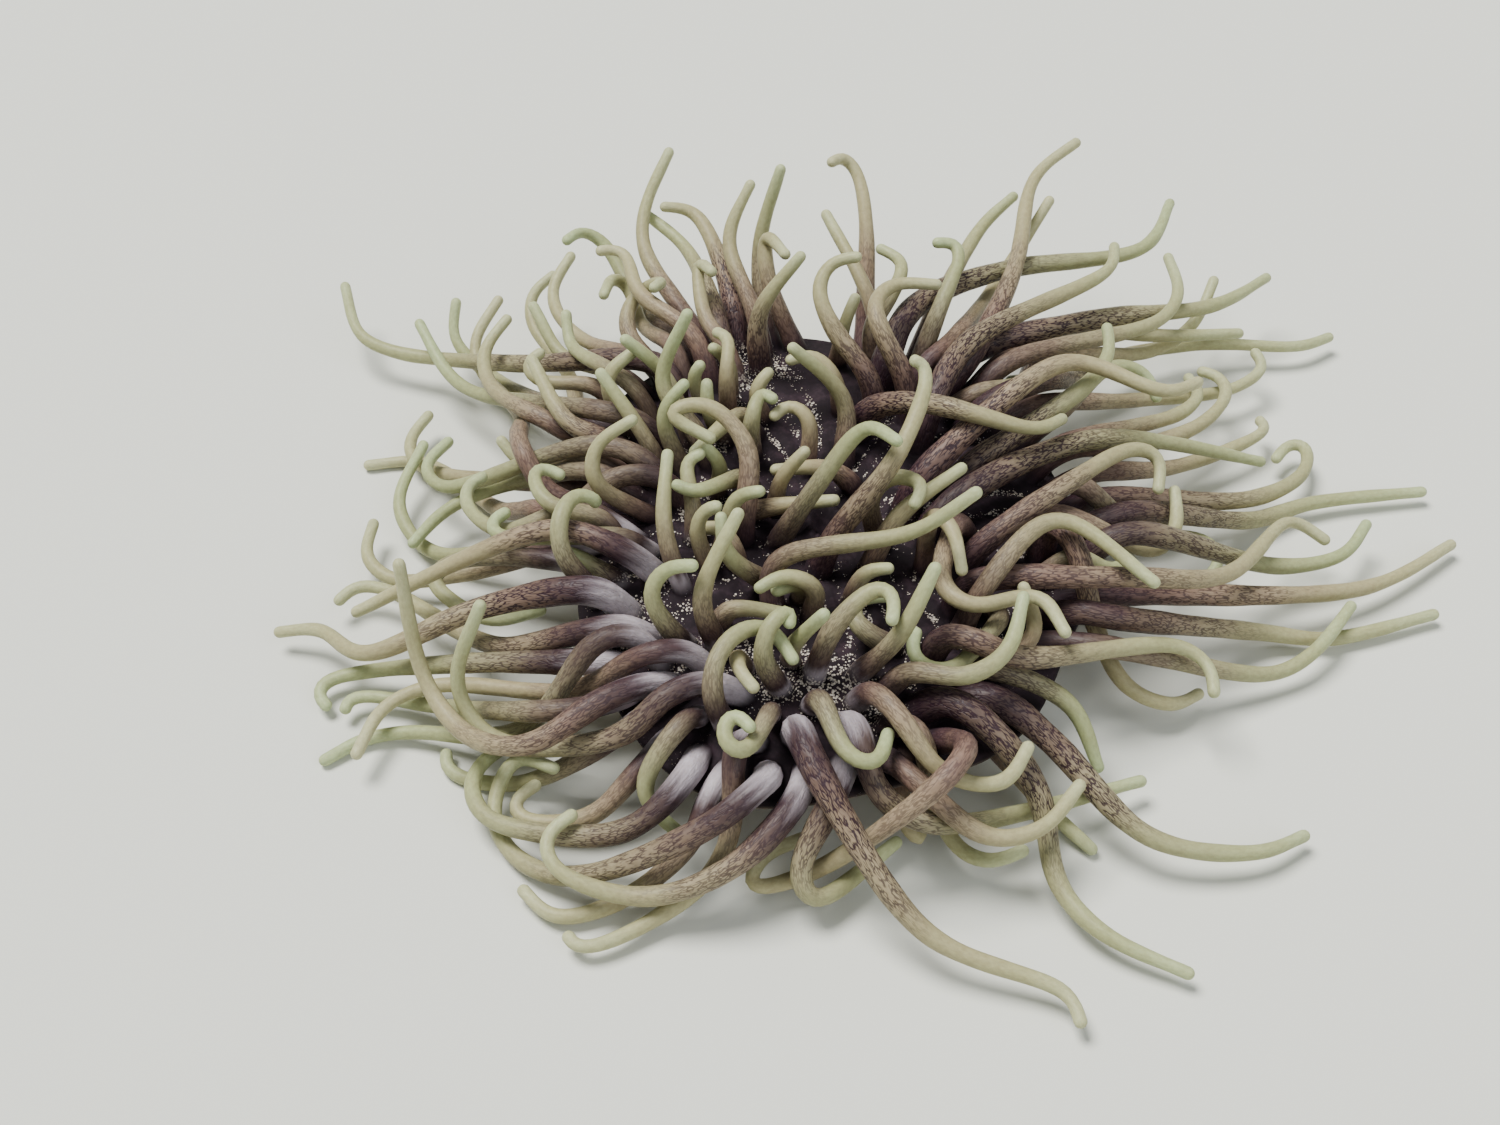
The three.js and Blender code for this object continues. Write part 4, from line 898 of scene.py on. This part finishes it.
def crown_look_with_painted_shade(recipe):
    """Nearly black purple skin, partly its own dark colour and partly painted shade of the gaps between
    the limbs, with pale sand on it, in drifts and along the furrows.
    """
    place = recipe.stretched(recipe.node("ShaderNodeTexCoord", "Object"), (METRE, METRE, METRE))
    # near black: partly the crown's own dark purple, partly painted shade standing in for the deep
    # shadow between the limbs
    skin = recipe.ramp(recipe.noise(place, 0.16, 4.0, 0.65), [
        (0.3, "120a10"), (0.5, "1e141b"), (0.7, "382a32")])
    patches = recipe.noise(place, 0.2, 3.0, 0.65)
    heaped = recipe.maths("MULTIPLY", recipe.attribute("sand"), patches)
    lie = recipe.step(heaped, 0.12, 0.36, 0.0, 0.8)
    grains = recipe.maths("LESS_THAN", recipe.cells(place, 1.5), recipe.maths("MULTIPLY", lie, patches))
    grain_tone = recipe.ramp(recipe.noise(place, 2.1, 1.0), [(0.35, "847a76"), (0.65, "d9d0c2")])
    return recipe.mix(grains, skin, grain_tone), grains


def column_look(recipe):
    """Leathery grey brown skin of uneven tone."""
    place = recipe.stretched(recipe.node("ShaderNodeTexCoord", "Object"), (METRE, METRE, METRE))
    tone = recipe.noise(place, 0.12, 4.0, 0.6)
    skin = recipe.ramp(tone, [(0.3, "6b5b57"), (0.5, "8b7d72"), (0.72, "aa9e8c")])
    return skin, recipe.noise(place, 0.8, 3.0)


def flesh():
    """The skin's one material: the looks of limbs, crown and column, mixed by the markings."""
    recipe = Recipe("anemone_flesh")
    limb, limb_relief = limb_look(recipe)
    crown, grains = crown_look_with_painted_shade(recipe)
    column, leather = column_look(recipe)
    on_limb = recipe.step(recipe.attribute("limb_run"), 0.4, 4.5)
    on_column = recipe.attribute("column")
    body = recipe.mix(on_column, crown, column)
    recipe.tree.links.new(recipe.mix(on_limb, body, limb), recipe.shader.inputs["Base Color"])
    body_relief = recipe.node("ShaderNodeMix", 0, {0: on_column, 2: grains, 3: leather})
    relief = recipe.node("ShaderNodeMix", 0, {0: on_limb, 2: body_relief, 3: limb_relief})
    recipe.tree.links.new(recipe.bump(relief, 0.22, 0.8), recipe.shader.inputs["Normal"])
    gloss = recipe.node("ShaderNodeMix", 0, {0: on_limb, 2: 0.8, 3: 0.45})
    recipe.tree.links.new(gloss, recipe.shader.inputs["Roughness"])
    recipe.shader.inputs["Subsurface Weight"].default_value = 0.12
    recipe.shader.inputs["Subsurface Radius"].default_value = (0.0022, 0.0016, 0.0009)
    recipe.shader.inputs["Subsurface Scale"].default_value = 1.0
    recipe.shader.inputs["Specular IOR Level"].default_value = 0.22
    return recipe.material


# ------------------------------------------------------------------ studio
def studio():
    """A plain pale floor."""
    mesh = bpy.data.meshes.new("studio_floor")
    half = 15.0
    corners = [(-half, -half, 0), (half, -half, 0), (half, half, 0), (-half, half, 0)]
    mesh.from_pydata(corners, [], [(0, 1, 2, 3)])
    floor = bpy.data.objects.new("studio_floor", mesh)
    bpy.context.scene.collection.objects.link(floor)
    recipe = Recipe("studio_paper")
    recipe.shader.inputs["Base Color"].default_value = colour("d9dad2")
    recipe.shader.inputs["Roughness"].default_value = 0.85
    mesh.materials.append(recipe.material)


def soft_light(name, place, breadth, strength, tint):
    """A wide far lamp that shines from its place to the middle, evenly over the whole floor."""
    light = bpy.data.lights.new(name, "SUN")
    light.angle = math.radians(breadth)
    light.energy = strength
    light.color = tint
    holder = bpy.data.objects.new(name, light)
    holder.location = place
    holder.rotation_euler = (-Vector(place)).to_track_quat("-Z", "Y").to_euler()
    bpy.context.scene.collection.objects.link(holder)


def lights():
    """Even daylight from above, a weaker fill from the front, and soft light from all round."""
    soft_light("key", (-0.4, 0.2, 1.1), 28, 5.4, (1.0, 0.99, 0.95))
    soft_light("fill", (0.6, -0.7, 0.8), 45, 1.3, (0.93, 0.97, 1.0))
    world = bpy.data.worlds.new("studio_air")
    world.use_nodes = True
    world.node_tree.nodes["Background"].inputs["Color"].default_value = (0.9, 0.95, 0.93, 1)
    world.node_tree.nodes["Background"].inputs["Strength"].default_value = 0.34
    bpy.context.scene.world = world


def camera():
    """The photograph's view: just in front, looking down at 45 degrees."""
    view = bpy.data.cameras.new("camera")
    view.lens = 48
    view.sensor_width = 36
    view.clip_start = 0.01
    holder = bpy.data.objects.new("camera", view)
    holder.location = (-0.016, -0.349, 0.354)
    holder.rotation_euler = (math.radians(45), 0, 0)
    bpy.context.scene.collection.objects.link(holder)
    bpy.context.scene.camera = holder


# ------------------------------------------------------------------ the model
limbs = read_limbs()
part_roots(limbs)
settle(limbs)
skin = Skin()
roots = [grow_limb(skin, limb) for limb in limbs]
grow_column(skin, grow_crown(skin, roots))
anemone = skin.build("anemone_skin")
anemone.data.materials.append(flesh())
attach(anemone, "root")
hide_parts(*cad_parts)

camera()
studio()
lights()
